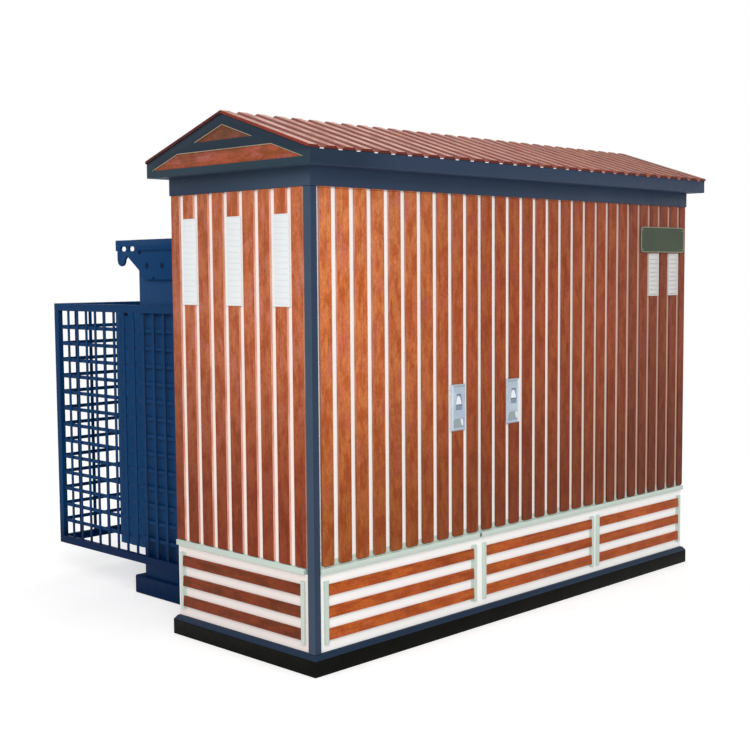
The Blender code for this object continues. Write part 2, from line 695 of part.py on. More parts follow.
def build_roof_sheet(name, sign, red):
    """Build one slope of the roof, with its ribs running from the ridge to the eave."""
    stretch = math.sqrt(1 + ROOF_SLOPE ** 2)
    ridge = sign * CONTACT / 2
    shape = bmesh.new()
    rings = []
    for y in (sign * (EAVE_Y + SHEET_OVERHANG), ridge):
        base = roof_line(y) + CONTACT
        rings.append([shape.verts.new((x, y, base + height * stretch)) for x, height in rib_profile()])
    shape.faces.new(rings[0])
    shape.faces.new(rings[1][::-1])
    count = len(rings[0])
    for index in range(count):
        after = (index + 1) % count
        shape.faces.new((rings[0][index], rings[1][index], rings[1][after], rings[0][after]))
    add_piece(name, shape, (0, ridge, RIDGE_TOP), red)


def build_tank(blue):
    """Build the tank on its skid, with its bolted cover."""
    low = (-TANK_HALF_WIDTH - SKID_REACH, HALF_DEPTH + PLINTH_REACH + CONTACT, 0)
    high = (TANK_HALF_WIDTH + SKID_REACH, TANK_BACK + SKID_TAIL, SKID_HEIGHT)
    shape = box(low, high)
    bmesh.ops.bevel(shape, geom=shape.edges[:], offset=SKID_EDGE, segments=1, affect="EDGES")
    add_piece("tank_skid", shape, (0, low[1], 0), blue)
    low = (-TANK_HALF_WIDTH, TANK_FRONT, SKID_HEIGHT + CONTACT)
    high = (TANK_HALF_WIDTH, TANK_BACK, TANK_TOP - CONTACT)
    shape = box(low, high)
    upright = [edge for edge in shape.edges if (edge.verts[0].co - edge.verts[1].co).xy.length < CONTACT]
    bmesh.ops.bevel(shape, geom=upright, offset=TANK_CORNER, segments=2, affect="EDGES", profile=0.5)
    add_piece("tank", shape, (0, TANK_FRONT, SKID_HEIGHT), blue)
    low = (-TANK_HALF_WIDTH + COVER_SETBACK, TANK_FRONT + COVER_SETBACK, TANK_TOP)
    high = (TANK_HALF_WIDTH - COVER_SETBACK, TANK_BACK - COVER_SETBACK, TANK_TOP + COVER_THICKNESS)
    add_piece("tank_cover", box(low, high), (0, low[1], TANK_TOP), blue)


def lug_outline():
    """Return the side view of a lifting lug, as length behind the tank and drop below the lug's top."""
    tab_back = LUG_LENGTH_BACK - LUG_TAB_INSET
    radius = LUG_TAB_WIDTH / 2
    tip = arc((tab_back - radius, LUG_TAB_DROP - radius), radius, 0, math.pi, TIP_STEPS)
    outline = [(-LUG_LENGTH_FRONT, LUG_HEIGHT), (-LUG_LENGTH_FRONT, 0), (LUG_LENGTH_BACK, 0)]
    outline += [(LUG_LENGTH_BACK, LUG_BAR_HEIGHT), (tab_back, LUG_BAR_HEIGHT)]
    return outline + tip + [LUG_NOTCH, LUG_HIP, (LUG_HEEL, LUG_HEIGHT)]


def slot_outline(length):
    """Return the outline of an oblong hole in a lug, at a length behind the tank."""
    radius = LUG_SLOT_HEIGHT / 2
    reach = LUG_SLOT_LENGTH / 2 - radius
    back = arc((length + reach, LUG_SLOT_DROP), radius, -math.pi / 2, math.pi, SLOT_STEPS)
    front = arc((length - reach, LUG_SLOT_DROP), radius, math.pi / 2, math.pi, SLOT_STEPS)
    return back + front


def build_lug(name, sign, blue):
    """Build the lifting lug on one side of the tank."""
    face = sign * (TANK_HALF_WIDTH + CONTACT)
    outward = ALONG_X * sign * LUG_THICKNESS

    def lug_points(outline, x):
        return [Vector((x, TANK_BACK + length, LUG_TOP - drop)) for length, drop in outline]

    points = lug_points(lug_outline(), face)
    lug = add_piece(f"{name}_lifting_lug", extruded(points, outward), points[0], blue)
    start = -LUG_LENGTH_FRONT
    end = -LUG_LIP_SETBACK
    lip = [(start, LUG_BAR_HEIGHT), (end, LUG_BAR_HEIGHT), (end, 0), (start, 0)]
    points = lug_points(lip, face + sign * LUG_THICKNESS / 2)
    combine(lug, extruded(points, outward / 2 + ALONG_X * sign * LUG_LIP_REACH), "UNION")
    for place_in_bar in LUG_SLOT_PLACES:
        points = lug_points(slot_outline(place_in_bar), face - sign * LUG_THICKNESS)
        combine(lug, extruded(points, outward * 3), "DIFFERENCE")


def plate_outline(x):
    """Return the plan of one fluted radiator plate, centred on a place along X."""
    half = PLATE_THICKNESS / 2
    steps = 2 * FLUTE_COUNT
    right = []
    left = []
    for step in range(steps + 1):
        bulge = half + (FLUTE_DEPTH if step % 2 else 0)
        y = PLATE_FRONT + PLATE_DEPTH * step / steps
        right.append((x + bulge, y))
        left.append((x - bulge, y))
    return right + left[::-1]


def build_radiator(name, sign, blue):
    """Build one radiator: fluted plates on two header pipes, with stubs to the tank."""
    room = TANK_HALF_WIDTH - PLATE_MARGIN - FIRST_PLATE_X
    count = math.floor(room / PLATE_PITCH) + 1
    places = [sign * (FIRST_PLATE_X + number * PLATE_PITCH) for number in range(count)]
    pipe_y = PLATE_FRONT + HEADER_PIPE_INSET
    overrun = sign * HEADER_PIPE_OVERRUN
    body = None
    for x in places:
        points = [(px, py, PLATE_BOTTOM) for px, py in plate_outline(x)]
        shape = extruded(points, UP * (PLATE_TOP - PLATE_BOTTOM))
        if body is None:
            body = add_piece(f"{name}_radiator", shape, (x, pipe_y, PLATE_BOTTOM), blue)
            for level in (PLATE_BOTTOM + HEADER_PIPE_INSET, PLATE_TOP - HEADER_PIPE_INSET):
                start = (places[0] - overrun, pipe_y, level)
                end = (places[-1] + overrun, pipe_y, level)
                combine(body, tube(start, end, HEADER_PIPE_RADIUS, PIPE_SIDES), "UNION")
        else:
            combine(body, shape, "UNION")
    for level in (PLATE_BOTTOM + HEADER_PIPE_INSET, PLATE_TOP - HEADER_PIPE_INSET):
        for number in (STUB_PLATES, count - 1 - STUB_PLATES):
            x = sign * (FIRST_PLATE_X + number * PLATE_PITCH)
            stub = tube((x, TANK_BACK + CONTACT, level), (x, pipe_y, level), STUB_RADIUS, PIPE_SIDES)
            combine(body, stub, "UNION")


def lattice_strips(start, end, frame=GUARD_FRAME):
    """Return the edges and the kinds of the strips across a framed mesh, from side to side."""
    inside = end - start - 2 * frame
    cells = round(inside / MESH_SIZE)
    lines = [start, start + frame]
    kinds = ["frame"]
    for cell in range(1, cells):
        centre = start + frame + inside * cell / cells
        lines += [centre - WIRE_WIDTH / 2, centre + WIRE_WIDTH / 2]
        kinds += ["open", "wire"]
    lines += [end - frame, end]
    kinds += ["open", "frame"]
    return lines, kinds


def strip_depth(column, row):
    """Return half the depth of the mesh panel where a column strip meets a row strip."""
    if "frame" in (column, row):
        return GUARD_DEPTH / 2
    return WIRE_DEPTH / 2 if "wire" in (column, row) else 0


def lattice(columns, rows, along, across):
    """Return a framed mesh as one solid, its wires fused where they cross.

    The panel is a grid of strips. Each cell of the grid has its own depth: the frame's, the
    wire's or none. Faces close the steps between cells of different depth.
    """
    lines, kinds = columns
    levels, bands = rows
    shape = bmesh.new()
    corners = {}

    def corner(i, j, depth):
        key = (i, j, depth)
        if key not in corners:
            corners[key] = shape.verts.new(along * lines[i] + UP * levels[j] + across * depth)
        return corners[key]

    def depth_of(i, j):
        inside = 0 <= i < len(kinds) and 0 <= j < len(bands)
        return strip_depth(kinds[i], bands[j]) if inside else 0

    def close_step(first, second, one, other):
        low, high = sorted((one, other))
        if low == high:
            return
        wire = WIRE_DEPTH / 2
        cuts = [-high, -wire, wire, high] if high > wire else [-high, high]
        for near, far in zip(cuts, cuts[1:]):
            if low == 0 or near != -wire:
                ring = [corner(*first, near), corner(*second, near), corner(*second, far), corner(*first, far)]
                shape.faces.new(ring)

    for i in range(len(kinds)):
        for j in range(len(bands)):
            depth = depth_of(i, j)
            if depth:
                ring = ((i, j), (i + 1, j), (i + 1, j + 1), (i, j + 1))
                shape.faces.new([corner(*spot, depth) for spot in ring])
                shape.faces.new([corner(*spot, -depth) for spot in ring])
    for i in range(len(lines)):
        for j in range(len(bands)):
            close_step((i, j), (i, j + 1), depth_of(i - 1, j), depth_of(i, j))
    for i in range(len(kinds)):
        for j in range(len(levels)):
            close_step((i, j), (i + 1, j), depth_of(i, j - 1), depth_of(i, j))
    return shape


def build_guard(blue):
    """Build the open-topped mesh guard: two sides and a back."""
    rows = lattice_strips(GUARD_BOTTOM, GUARD_TOP)
    centre = TANK_HALF_WIDTH + CONTACT + GUARD_DEPTH / 2
    for name, sign in (("left", -1), ("right", 1)):
        shape = lattice(lattice_strips(GUARD_FRONT, GUARD_BACK), rows, ALONG_Y, ALONG_X)
        bmesh.ops.translate(shape, vec=ALONG_X * sign * centre, verts=shape.verts)
        add_piece(f"{name}_guard", shape, (sign * centre, GUARD_FRONT, GUARD_BOTTOM), blue)
    back = GUARD_BACK - GUARD_DEPTH / 2
    columns = lattice_strips(-TANK_HALF_WIDTH, TANK_HALF_WIDTH, BACK_GUARD_SIDE)
    shape = lattice(columns, rows, ALONG_X, ALONG_Y)
    bmesh.ops.translate(shape, vec=ALONG_Y * back, verts=shape.verts)
    add_piece("back_guard", shape, (0, back, GUARD_BOTTOM), blue)


def build():
    """Build the whole substation."""
    clear_scene()
    black = finish("plinth_black", (0.018, 0.018, 0.016), 0.6)
    navy = finish("frame_navy", (0.032, 0.052, 0.095), 0.4)
    white = finish("panel_white", (0.83, 0.81, 0.80), 0.45)
    pale = finish("trim_pale_green", (0.52, 0.61, 0.56), 0.4)
    timber = finish("timber_look", (0.38, 0.11, 0.035), 0.5)
    red = finish("roof_red", (0.30, 0.09, 0.06), 0.45)
    vent_white = finish("vent_white", (0.78, 0.82, 0.81), 0.4)
    sign_green = finish("sign_grey_green", (0.08, 0.11, 0.09), 0.4)
    metal = finish("lock_metal", (0.50, 0.58, 0.66), 0.3, 0.6)
    blue = finish("tank_blue", (0.012, 0.045, 0.13), 0.4)
    build_plinth(black, navy)
    build_post(navy)
    build_base_panels(white)
    build_rails(pale)
    build_doors(timber, metal)
    build_fixed_panel(timber, vent_white, sign_green)
    build_end_wall("left", LEFT_SIDE, POST_INNER_Y + CONTACT, timber, vent_white)
    build_end_wall("right", RIGHT_SIDE, -WALL_BACK + CONTACT, timber, vent_white)
    build_back_wall(timber)
    build_header(navy)
    build_eave(navy)
    build_gable("left", -1, navy, timber)
    build_gable("right", 1, navy, timber)
    build_roof_sheet("roof_front_slope", -1, red)
    build_roof_sheet("roof_back_slope", 1, red)
    build_tank(blue)
    build_lug("left", -1, blue)
    build_lug("right", 1, blue)
    build_radiator("left", -1, blue)
    build_radiator("right", 1, blue)
    build_guard(blue)


build()
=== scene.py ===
"""Looks of the compact substation: boards, sheets, vents, locks, roof, fine mesh, paints and light."""

import math

import bmesh
import bpy
from mathutils import Matrix, Vector


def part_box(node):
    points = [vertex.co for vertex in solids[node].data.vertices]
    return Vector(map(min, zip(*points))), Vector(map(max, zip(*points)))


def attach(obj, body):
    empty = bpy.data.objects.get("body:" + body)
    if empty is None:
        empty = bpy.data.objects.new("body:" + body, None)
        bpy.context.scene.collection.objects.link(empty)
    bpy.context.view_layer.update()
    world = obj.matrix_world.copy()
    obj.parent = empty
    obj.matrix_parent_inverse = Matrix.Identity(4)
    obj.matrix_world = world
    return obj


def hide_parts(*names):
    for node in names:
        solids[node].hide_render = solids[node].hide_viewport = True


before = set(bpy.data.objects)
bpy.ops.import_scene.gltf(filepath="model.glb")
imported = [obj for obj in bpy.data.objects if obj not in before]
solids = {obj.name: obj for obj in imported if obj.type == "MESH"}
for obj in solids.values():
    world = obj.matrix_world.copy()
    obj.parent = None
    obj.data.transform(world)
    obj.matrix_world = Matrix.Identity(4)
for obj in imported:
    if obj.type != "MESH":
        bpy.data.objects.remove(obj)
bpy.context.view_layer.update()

# Boards and sheets, as in the solids, in metres
BOARD_PITCH = 0.101
FIXED_PITCH = 0.097
BOARD_GAP = 0.030
BOARD_THICKNESS = 0.010
BOARD_MARGIN = 0.006
NARROWEST_BOARD = 0.020
BOARD_FOOT_RADIUS = 0.010
END_FOOT_RADIUS = 0.005
SAWN_RADIUS = 0.001
BOARD_CORNER_STEPS = 4
BOARD_EDGE_RADIUS = 0.0022
FOOT_CLEARANCE = 0.003
HEAD_CLEARANCE = 0.0005
SHEET_SKIN = 0.002
SHEET_DEPTH = 0.030
SHEET_LIP = 0.022
SHEET_ROUNDING = 0.0012
STIFFENERS = 2
STIFFENER_SKIN = 0.0015
STIFFENER_CLEARANCE = 0.004
LIP_THICKNESS = 0.006
LIP_OVERLAP = 0.001
CLEARANCE = 0.0008

# Smoothing: angles in degrees at which edges are rounded or stay sharp
ROUNDING_STEPS = 2
ROUNDING_ANGLE = 28
SHARP_ANGLE = 32
WELD_REACH = 0.00002
SIDE_FACING = 0.9

# Base panels
SLAT_HEIGHT = 0.046
SLAT_PITCH = 0.092
SLAT_COUNT = 3
FIRST_SLAT = 0.048
SLAT_REACH = 0.012
SLAT_START = 0.080
STRIP_WIDTH = 0.030
STRIP_RAISED = 0.018
STRIP_REACH = 0.0125
STRIP_MARGIN = 0.024
MIDDLE_MARGIN = 0.003
STRIP_OVERRUN = 0.016

# Vents, sign plate and lock plates
LOUVRE_PITCH = 0.025
VENT_RIM = 0.0098
FRONT_VENT_DEPTHS = (0.0058, 0.0046)
END_VENT_DEPTHS = (0.0080, 0.0017)
VENT_MARGIN = 0.009
SIGN_RADIUS = 0.016
SIGN_RIM_DEPTH = 0.004
SIGN_CORNER_STEPS = 5
LOCK_STEP = 0.0006

# Gables, roof, guard and tank
GABLE_BEAM_HEIGHT = 0.031
BARGE_HEIGHT = 0.043
COLLAR_DROP = 0.107
COLLAR_HEIGHT = 0.037
GABLE_START = 2.1
GABLE_PITCH = 0.5
TRIM_WIDTH = 0.0036
ROOF_RISE = 0.174
RIB_PITCH = 0.100
RIB_HEIGHT = 0.008
RIB_VALLEY = 0.030
RIB_SLANT = 0.012
ROOF_THICKNESS = 0.004
ROOF_SKIN = 0.0016
VERGE_SKIN = 0.0018
CLOSER_WIDTH = 0.020
CLOSER_MARGIN = 0.030
GUARD_FRAME = 0.040
BACK_GUARD_SIDE = 0.012
WIRE_WIDTH = 0.019
WIRE_DEPTH = 0.005
WIRE_LAP = 0.004
MESH_SIZE = 0.088
COVER_BOLT_INSET = 0.016
COVER_BOLT_RADIUS = 0.0085
COVER_BOLT_HEIGHT = 0.006
COVER_BOLTS_LONG = 14
COVER_BOLTS_SHORT = 6
LUG_WEB_INSET = 0.010

# Camera, found from the photo's edges
EYE = (-4.794, -4.157, 1.631)
HEADING = 44.589
PITCH = -4.642
ROLL = -0.428
LENS = 60.88
SENSOR = 36

# Light and floor
SKY = 0.66
SUN_FROM = (-0.69, -0.58, 0.55)
SUN_POWER = 0.95
SUN_SOFTNESS = 38
WINDOW_PLACE = (-4.4, -4.2, 3.6)
WINDOW_AIM = (-0.9, -0.4, 1.2)
WINDOW_SIZE = 2.6
WINDOW_POWER = 62
FLOOR_RADIUS = 40.0
FLOOR_SIDES = 64
FLOOR_DROP = 0.0005
FLOOR_GLOW = 0.42

ORIGIN = (0.0, 0.0, 0.0)
UNTINTED = (1.0, 1.0, 1.0, 1.0)


class Wall:
    """One side of the cabinet. A place on it is a run along it, a rise, and a reach out of its sheet."""

    def __init__(self, along, outwards, face):
        self.along = along
        self.outwards = outwards
        self.face = face

    def point(self, run, rise, reach):
        """Return the point in the part's frame."""
        level = self.face + self.outwards * reach
        return Vector((run, level, rise) if self.along == 0 else (level, run, rise))

    def span(self, node):
        """Return a solid's ends along the wall, and its foot and top."""
        low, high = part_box(node)
        return low[self.along], high[self.along], low.z, high.z

    def rectangles(self, node, rings):
        """Return a solid's outline on the wall, once for each inset and reach."""
        left, right, foot, top = self.span(node)
        return [
            [self.point(left + inset, foot + inset, reach), self.point(right - inset, foot + inset, reach),
             self.point(right - inset, top - inset, reach), self.point(left + inset, top - inset, reach)]
            for inset, reach in rings
        ]


FRONT = Wall(0, -1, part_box("left_door")[0].y + BOARD_THICKNESS)
BACK = Wall(0, 1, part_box("back_wall")[1].y - BOARD_THICKNESS)
LEFT_END = Wall(1, -1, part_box("left_end_wall")[0].x + BOARD_THICKNESS)
RIGHT_END = Wall(1, 1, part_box("right_end_wall")[1].x - BOARD_THICKNESS)
FRONT_SEAM = (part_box("left_door")[1].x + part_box("right_door")[0].x) / 2
FIXED_SEAM = (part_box("right_door")[1].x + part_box("front_fixed_panel")[0].x) / 2
MIDDLE_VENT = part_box("left_vent_2")
END_SEAM = (MIDDLE_VENT[0].y + MIDDLE_VENT[1].y) / 2 + BOARD_PITCH / 2
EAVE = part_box("eave_tray")[0].z
DOOR_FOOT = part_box("left_door")[0].z


def paint(red, green, blue):
    """Return the linear colour of a paint that is given as 0 to 255 a channel."""
    return tuple((channel / 255) ** 2.2 for channel in (red, green, blue)) + (1.0,)


class Nodes:
    """Adds nodes to a material or a group and joins them. A value is a number, a tuple or an output."""

    def __init__(self, tree):
        self.tree = tree

    def add(self, kind, **settings):
        """Add one node."""
        node = self.tree.nodes.new(kind)
        for name, value in settings.items():
            setattr(node, name, value)
        return node

    def feed(self, socket, value):
        """Set a socket, or join an output to it."""
        if isinstance(value, bpy.types.NodeSocket):
            self.tree.links.new(value, socket)
        else:
            socket.default_value = value

    def fed(self, kind, *values, **settings):
        """Add one node, feed its first sockets and return its first output."""
        node = self.add(kind, **settings)
        for socket, value in zip(node.inputs, values):
            self.feed(socket, value)
        return node.outputs[0]

    def reckon(self, operation, first, second=0.5):
        """Return a plain operation on one or two numbers."""
        return self.fed("ShaderNodeMath", first, second, operation=operation)

    def times(self, first, second):
        """Return the product of two numbers."""
        return self.reckon("MULTIPLY", first, second)

    def plus(self, first, second):
        """Return the sum of two numbers."""
        return self.reckon("ADD", first, second)

    def less(self, first, second):
        """Return the first number less the second."""
        return self.reckon("SUBTRACT", first, second)

    def span(self, value, low, high, start=0.0, end=1.0):
        """Return how far a value has come from low to high, smoothly, as start to end."""
        return self.fed("ShaderNodeMapRange", value, low, high, start, end, interpolation_type="SMOOTHSTEP")

    def blend(self, first, second, share, kind="MIX"):
        """Return one colour laid over another."""
        node = self.add("ShaderNodeMix", data_type="RGBA", blend_type=kind)
        self.feed(node.inputs[0], share)
        self.feed(node.inputs[6], first)
        self.feed(node.inputs[7], second)
        return node.outputs[2]

    def tint(self, colour, tone):
        """Return a colour multiplied by another, or by a number."""
        return self.blend(colour, tone, 1.0, "MULTIPLY")

    def stretch(self, place, *scale):
        """Return a place scaled by its three directions."""
        return self.fed("ShaderNodeVectorMath", place, scale, operation="MULTIPLY")

    def shift(self, place, amount):
        """Return a place moved by a vector."""
        return self.fed("ShaderNodeVectorMath", place, amount, operation="ADD")

    def together(self, *numbers):
        """Return a place from three numbers."""
        return self.fed("ShaderNodeCombineXYZ", *numbers)

    def parts(self, place):
        """Return the three numbers of a place."""
        node = self.add("ShaderNodeSeparateXYZ")
        self.feed(node.inputs[0], place)
        return node.outputs

    def cloud(self, place, scale=1.0, detail=2.0, rough=0.5):
        """Return a soft random value between 0 and 1."""
        node = self.add("ShaderNodeTexNoise")
        for label, value in (("Vector", place), ("Scale", scale), ("Detail", detail), ("Roughness", rough)):
            self.feed(node.inputs[label], value)
        return node.outputs[0]

    def effect(self, group, **values):
        """Place an effect and return its outputs."""
        node = self.add("ShaderNodeGroup", node_tree=group)
        for name, value in values.items():
            self.feed(node.inputs[name], value)
        return node.outputs

    def own_place(self):
        """Return the place on the piece, in metres at rest."""
        return self.add("ShaderNodeTexCoord").outputs["Object"]


def new_effect(name, inputs, outputs):
    """Start a shader effect. Return its nodes, what it is given and where its results go."""
    group = bpy.data.node_groups.new(name, "ShaderNodeTree")
    kinds = {1: "NodeSocketFloat", 3: "NodeSocketVector", 4: "NodeSocketColor"}
    for label, value in inputs.items():
        length = len(value) if isinstance(value, tuple) else 1
        socket = group.interface.new_socket(label, in_out="INPUT", socket_type=kinds[length])
        socket.default_value = value
    for label, length in outputs.items():
        group.interface.new_socket(label, in_out="OUTPUT", socket_type=kinds[length])
    n = Nodes(group)
    return n, n.add("NodeGroupInput").outputs, n.add("NodeGroupOutput").inputs


def timber_print_effect():
    """Printed timber grain: streaks along each board, soft orange and pink blotches, a tone per board."""
    given_colours = dict.fromkeys(("Shade", "Light", "Deep", "Blush", "Dark"), UNTINTED)
    n, given, out = new_effect(
        "timber_print",
        {"Place": ORIGIN, "Board": 0.0, "Streaks": 0.48, **given_colours},
        {"Colour": 4, "Roughness": 1, "Grain": 1},
    )
    jump = n.together(n.times(given["Board"], 3.17), n.times(given["Board"], 5.71), 0.0)
    place = n.shift(given["Place"], jump)
    blotch = n.cloud(n.stretch(place, 24, 9, 9), detail=4, rough=0.66)
    blush = n.cloud(n.stretch(place, 22, 7, 7), detail=3, rough=0.62)
    streak = n.cloud(n.stretch(place, 105, 3.2, 20), detail=5, rough=0.66)
    speck = n.cloud(n.stretch(place, 130, 70, 80), detail=2, rough=0.6)
    tone = n.add("ShaderNodeTexWhiteNoise", noise_dimensions="1D")
    n.feed(tone.inputs["W"], n.plus(given["Board"], 0.37))
    deep = n.blend(given["Light"], given["Deep"], n.span(blotch, 0.40, 0.62))
    pink = n.blend(deep, given["Blush"], n.span(blush, 0.50, 0.66, 0.0, 0.75))
    dark = n.blend(pink, given["Dark"], n.span(streak, 0.50, 0.72))
    faded = n.tint(n.blend(pink, dark, given["Streaks"]), given["Shade"])
    bright = n.plus(n.span(speck, 0.33, 0.68, 0.86, 1.12), n.times(tone.outputs["Value"], 0.12))
    n.feed(out["Colour"], n.tint(faded, n.less(bright, 0.06)))
    n.feed(out["Roughness"], n.span(streak, 0.3, 0.7, 0.42, 0.56))
    n.feed(out["Grain"], n.plus(n.times(streak, 0.7), n.times(speck, 0.3)))
    return n.tree


def edge_wear_effect():
    """Mask of the rubbed edges: where a rounded normal leaves the face's own, broken up by noise."""
    n, given, out = new_effect("edge_wear", {"Place": ORIGIN, "Width": 0.003, "Amount": 0.5}, {"Mask": 1})
    soft = n.fed("ShaderNodeBevel", given["Width"], samples=4)
    turn = n.add("ShaderNodeVectorMath", operation="DOT_PRODUCT")
    n.feed(turn.inputs[0], soft)
    n.feed(turn.inputs[1], n.add("ShaderNodeNewGeometry").outputs["True Normal"])
    edge = n.span(turn.outputs["Value"], 0.99, 0.88)
    broken = n.span(n.cloud(given["Place"], 26, 4, 0.65), 0.42, 0.66)
    n.feed(out["Mask"], n.times(n.times(edge, broken), given["Amount"]))
    return n.tree


def weathering_effect():
    """Masks of pale dust near the ground and on tops, and of dull rain runs down a face."""
    inputs = {"Place": ORIGIN, "Dust": 0.3, "Runs": 0.3}
    n, given, out = new_effect("weathering", inputs, {"Dust": 1, "Runs": 1})
    height = n.parts(given["Place"])[2]
    up = n.parts(n.add("ShaderNodeNewGeometry").outputs["Normal"])[2]
    cloud = n.cloud(given["Place"], 7, 4, 0.6)
    splash = n.times(n.span(height, 0.55, 0.02), n.span(cloud, 0.35, 0.75))
    settled = n.times(n.span(up, 0.3, 0.95), n.span(cloud, 0.3, 0.7, 0.3, 1.0))
    n.feed(out["Dust"], n.times(n.reckon("MAXIMUM", splash, settled), given["Dust"]))
    runs = n.cloud(n.stretch(given["Place"], 34, 34, 1.3), detail=4, rough=0.6)
    patch = n.span(n.cloud(given["Place"], 2.2, 2, 0.5), 0.42, 0.62)
    n.feed(out["Runs"], n.times(n.times(n.span(runs, 0.52, 0.74), patch), given["Runs"]))
    return n.tree


def paint_skin_effect():
    """Sprayed paint: slow changes of tone and gloss, and a fine orange-peel height."""
    inputs = {"Place": ORIGIN, "Peel": 260.0, "Variation": 0.08, "Gloss": 0.45}
    n, given, out = new_effect("paint_skin", inputs, {"Tone": 1, "Roughness": 1, "Height": 1})
    slow = n.cloud(given["Place"], 3.1, 4, 0.55)
    fine = n.cloud(given["Place"], 38, 3, 0.6)
    both = n.plus(n.times(slow, 0.7), n.times(fine, 0.3))
    n.feed(out["Tone"], n.plus(n.times(n.less(both, 0.5), n.times(given["Variation"], 4.0)), 1.0))
    n.feed(out["Roughness"], n.plus(given["Gloss"], n.span(fine, 0.3, 0.7, -0.05, 0.06)))
    n.feed(out["Height"], n.cloud(given["Place"], given["Peel"], 2, 0.5))
    return n.tree


TIMBER_PRINT = timber_print_effect()
EDGE_WEAR = edge_wear_effect()
WEATHERING = weathering_effect()
PAINT_SKIN = paint_skin_effect()


def new_material(name, **constants):
    """Start a material. Return it, its nodes and its shader, with the constant values set on the shader."""
    material = bpy.data.materials.new(name)
    material.use_nodes = True
    shader = material.node_tree.nodes["Principled BSDF"]
    for label, value in constants.items():
        shader.inputs[label.replace("_", " ")].default_value = value
    return material, Nodes(material.node_tree), shader


def finish(n, shader, colour, roughness, height, distance, strength):
    """Give the shader its colour and roughness, and a bump."""
    n.feed(shader.inputs["Base Color"], colour)
    n.feed(shader.inputs["Roughness"], roughness)
    bump = n.add("ShaderNodeBump")
    bump.inputs["Strength"].default_value = strength
    bump.inputs["Distance"].default_value = distance
    n.feed(bump.inputs["Height"], height)
    n.feed(shader.inputs["Normal"], bump.outputs[0])


def coat(name, colour, gloss, worn, wear, dust, runs, variation, specular=0.4):
    """Sprayed sheet metal with rubbed edges, dust and rain runs. colour may be a function of the place."""
    material, n, shader = new_material(name, Specular_IOR_Level=specular)
    place = n.own_place()
    skin = n.effect(PAINT_SKIN, Place=place, Variation=variation, Gloss=gloss)
    weather = n.effect(WEATHERING, Place=place, Dust=dust, Runs=runs)
    rubbed = n.effect(EDGE_WEAR, Place=place, Amount=wear)["Mask"]
    base = colour(n, place) if callable(colour) else paint(*colour)
    run = n.blend(n.tint(base, skin["Tone"]), (0.72, 0.72, 0.72, 1.0), weather["Runs"], "MULTIPLY")
    dusted = n.blend(run, paint(150, 145, 138), weather["Dust"])
    roughness = n.plus(skin["Roughness"], n.times(weather["Dust"], 0.3))
    finish(n, shader, n.blend(dusted, paint(*worn), rubbed), roughness, skin["Height"], 0.0004, 0.35)
    return material


def printed_timber(name, lay, seam, pitch, shade, tones):
    """Timber print on boards. lay says how the boards lie; shade gives the tint at a place."""
    material, n, shader = new_material(name + "_timber_print", Specular_IOR_Level=0.14)
    place = n.own_place()
    turned = [n.parts(place)[way] for way in lay]
    grain = n.effect(
        TIMBER_PRINT,
        Place=n.together(*turned),
        Board=n.reckon("FLOOR", n.reckon("DIVIDE", n.less(turned[0], seam), pitch)),
        Shade=shade(n, *n.parts(place)),
        **{label: paint(*tone) for label, tone in zip(("Light", "Deep", "Blush", "Dark"), tones)},
    )
    weather = n.effect(WEATHERING, Place=place, Dust=0.05, Runs=0.25)
    rubbed = n.effect(EDGE_WEAR, Place=place, Width=0.0035, Amount=0.14)["Mask"]
    run = n.blend(grain["Colour"], paint(104, 46, 26), n.times(weather["Runs"], 0.6))
    dusted = n.blend(run, paint(160, 120, 96), weather["Dust"])
    colour = n.blend(dusted, paint(216, 150, 118), rubbed)
    finish(n, shader, colour, grain["Roughness"], grain["Grain"], 0.0006, 0.5)
    return material


def board_side(name, pale, deep, shade):
    """The boards' sides, where the print ends in pale runs of unprinted coating, multiplied by the given
    shade.
    """
    material, n, shader = new_material(name, Specular_IOR_Level=0.12)
    place = n.own_place()
    blotch = n.cloud(n.stretch(place, 30, 30, 5), detail=3, rough=0.5)
    fine = n.cloud(n.stretch(place, 160, 160, 24), detail=2, rough=0.6)
    base = n.blend(paint(*pale), paint(*deep), n.span(blotch, 0.30, 0.72))
    colour = n.tint(n.tint(base, shade(n, *n.parts(place))), n.span(fine, 0.3, 0.7, 0.92, 1.08))
    finish(n, shader, colour, n.span(fine, 0.3, 0.7, 0.5, 0.65), blotch, 0.0006, 0.4)
    return material


def front_painted_shade(n, x, y, z):
    """Painted shade and light on the front's print: darker to the doors' seam, duller at the right, paler
    at the top, redder and darker to the foot.
    """
    seam = n.blend(UNTINTED, (0.56, 0.42, 0.36, 1.0), n.span(x, -1.25, -0.15))
    right = n.blend(seam, (0.69, 0.72, 0.97, 1.0), n.span(x, 0.30, 1.10), "MULTIPLY")
    head = n.blend(right, (1.03, 1.12, 1.28, 1.0), n.span(z, 1.50, 1.92), "MULTIPLY")
    return n.blend(head, (0.56, 0.51, 0.33, 1.0), n.span(z, 1.45, 0.50), "MULTIPLY")


def end_painted_shade(n, x, y, z):
    """Painted shade on the other walls' print: darker towards the foot and a little towards the tank."""
    far = n.blend(UNTINTED, (0.86, 0.89, 0.96, 1.0), n.span(y, -0.35, 0.30))
    return n.blend(far, (0.48, 0.31, 0.19, 1.0), n.span(z, 1.50, 0.55), "MULTIPLY")


def no_shade(n, x, y, z):
    """No darkening at all."""
    return UNTINTED


def even_shade(n, x, y, z):
    """No darkening beyond a little at random."""
    patch = n.cloud(n.together(x, y, z), 2.4, 2, 0.5)
    return n.blend(UNTINTED, (0.74, 0.70, 0.66, 1.0), n.span(patch, 0.35, 0.75))


def gable_shade(n, x, y, z):
    """The board in a gable's upper window is browner and darker than the one below."""
    return n.blend(UNTINTED, (0.50, 0.62, 0.62, 1.0), n.span(z, EAVE + 0.106, EAVE + 0.136))


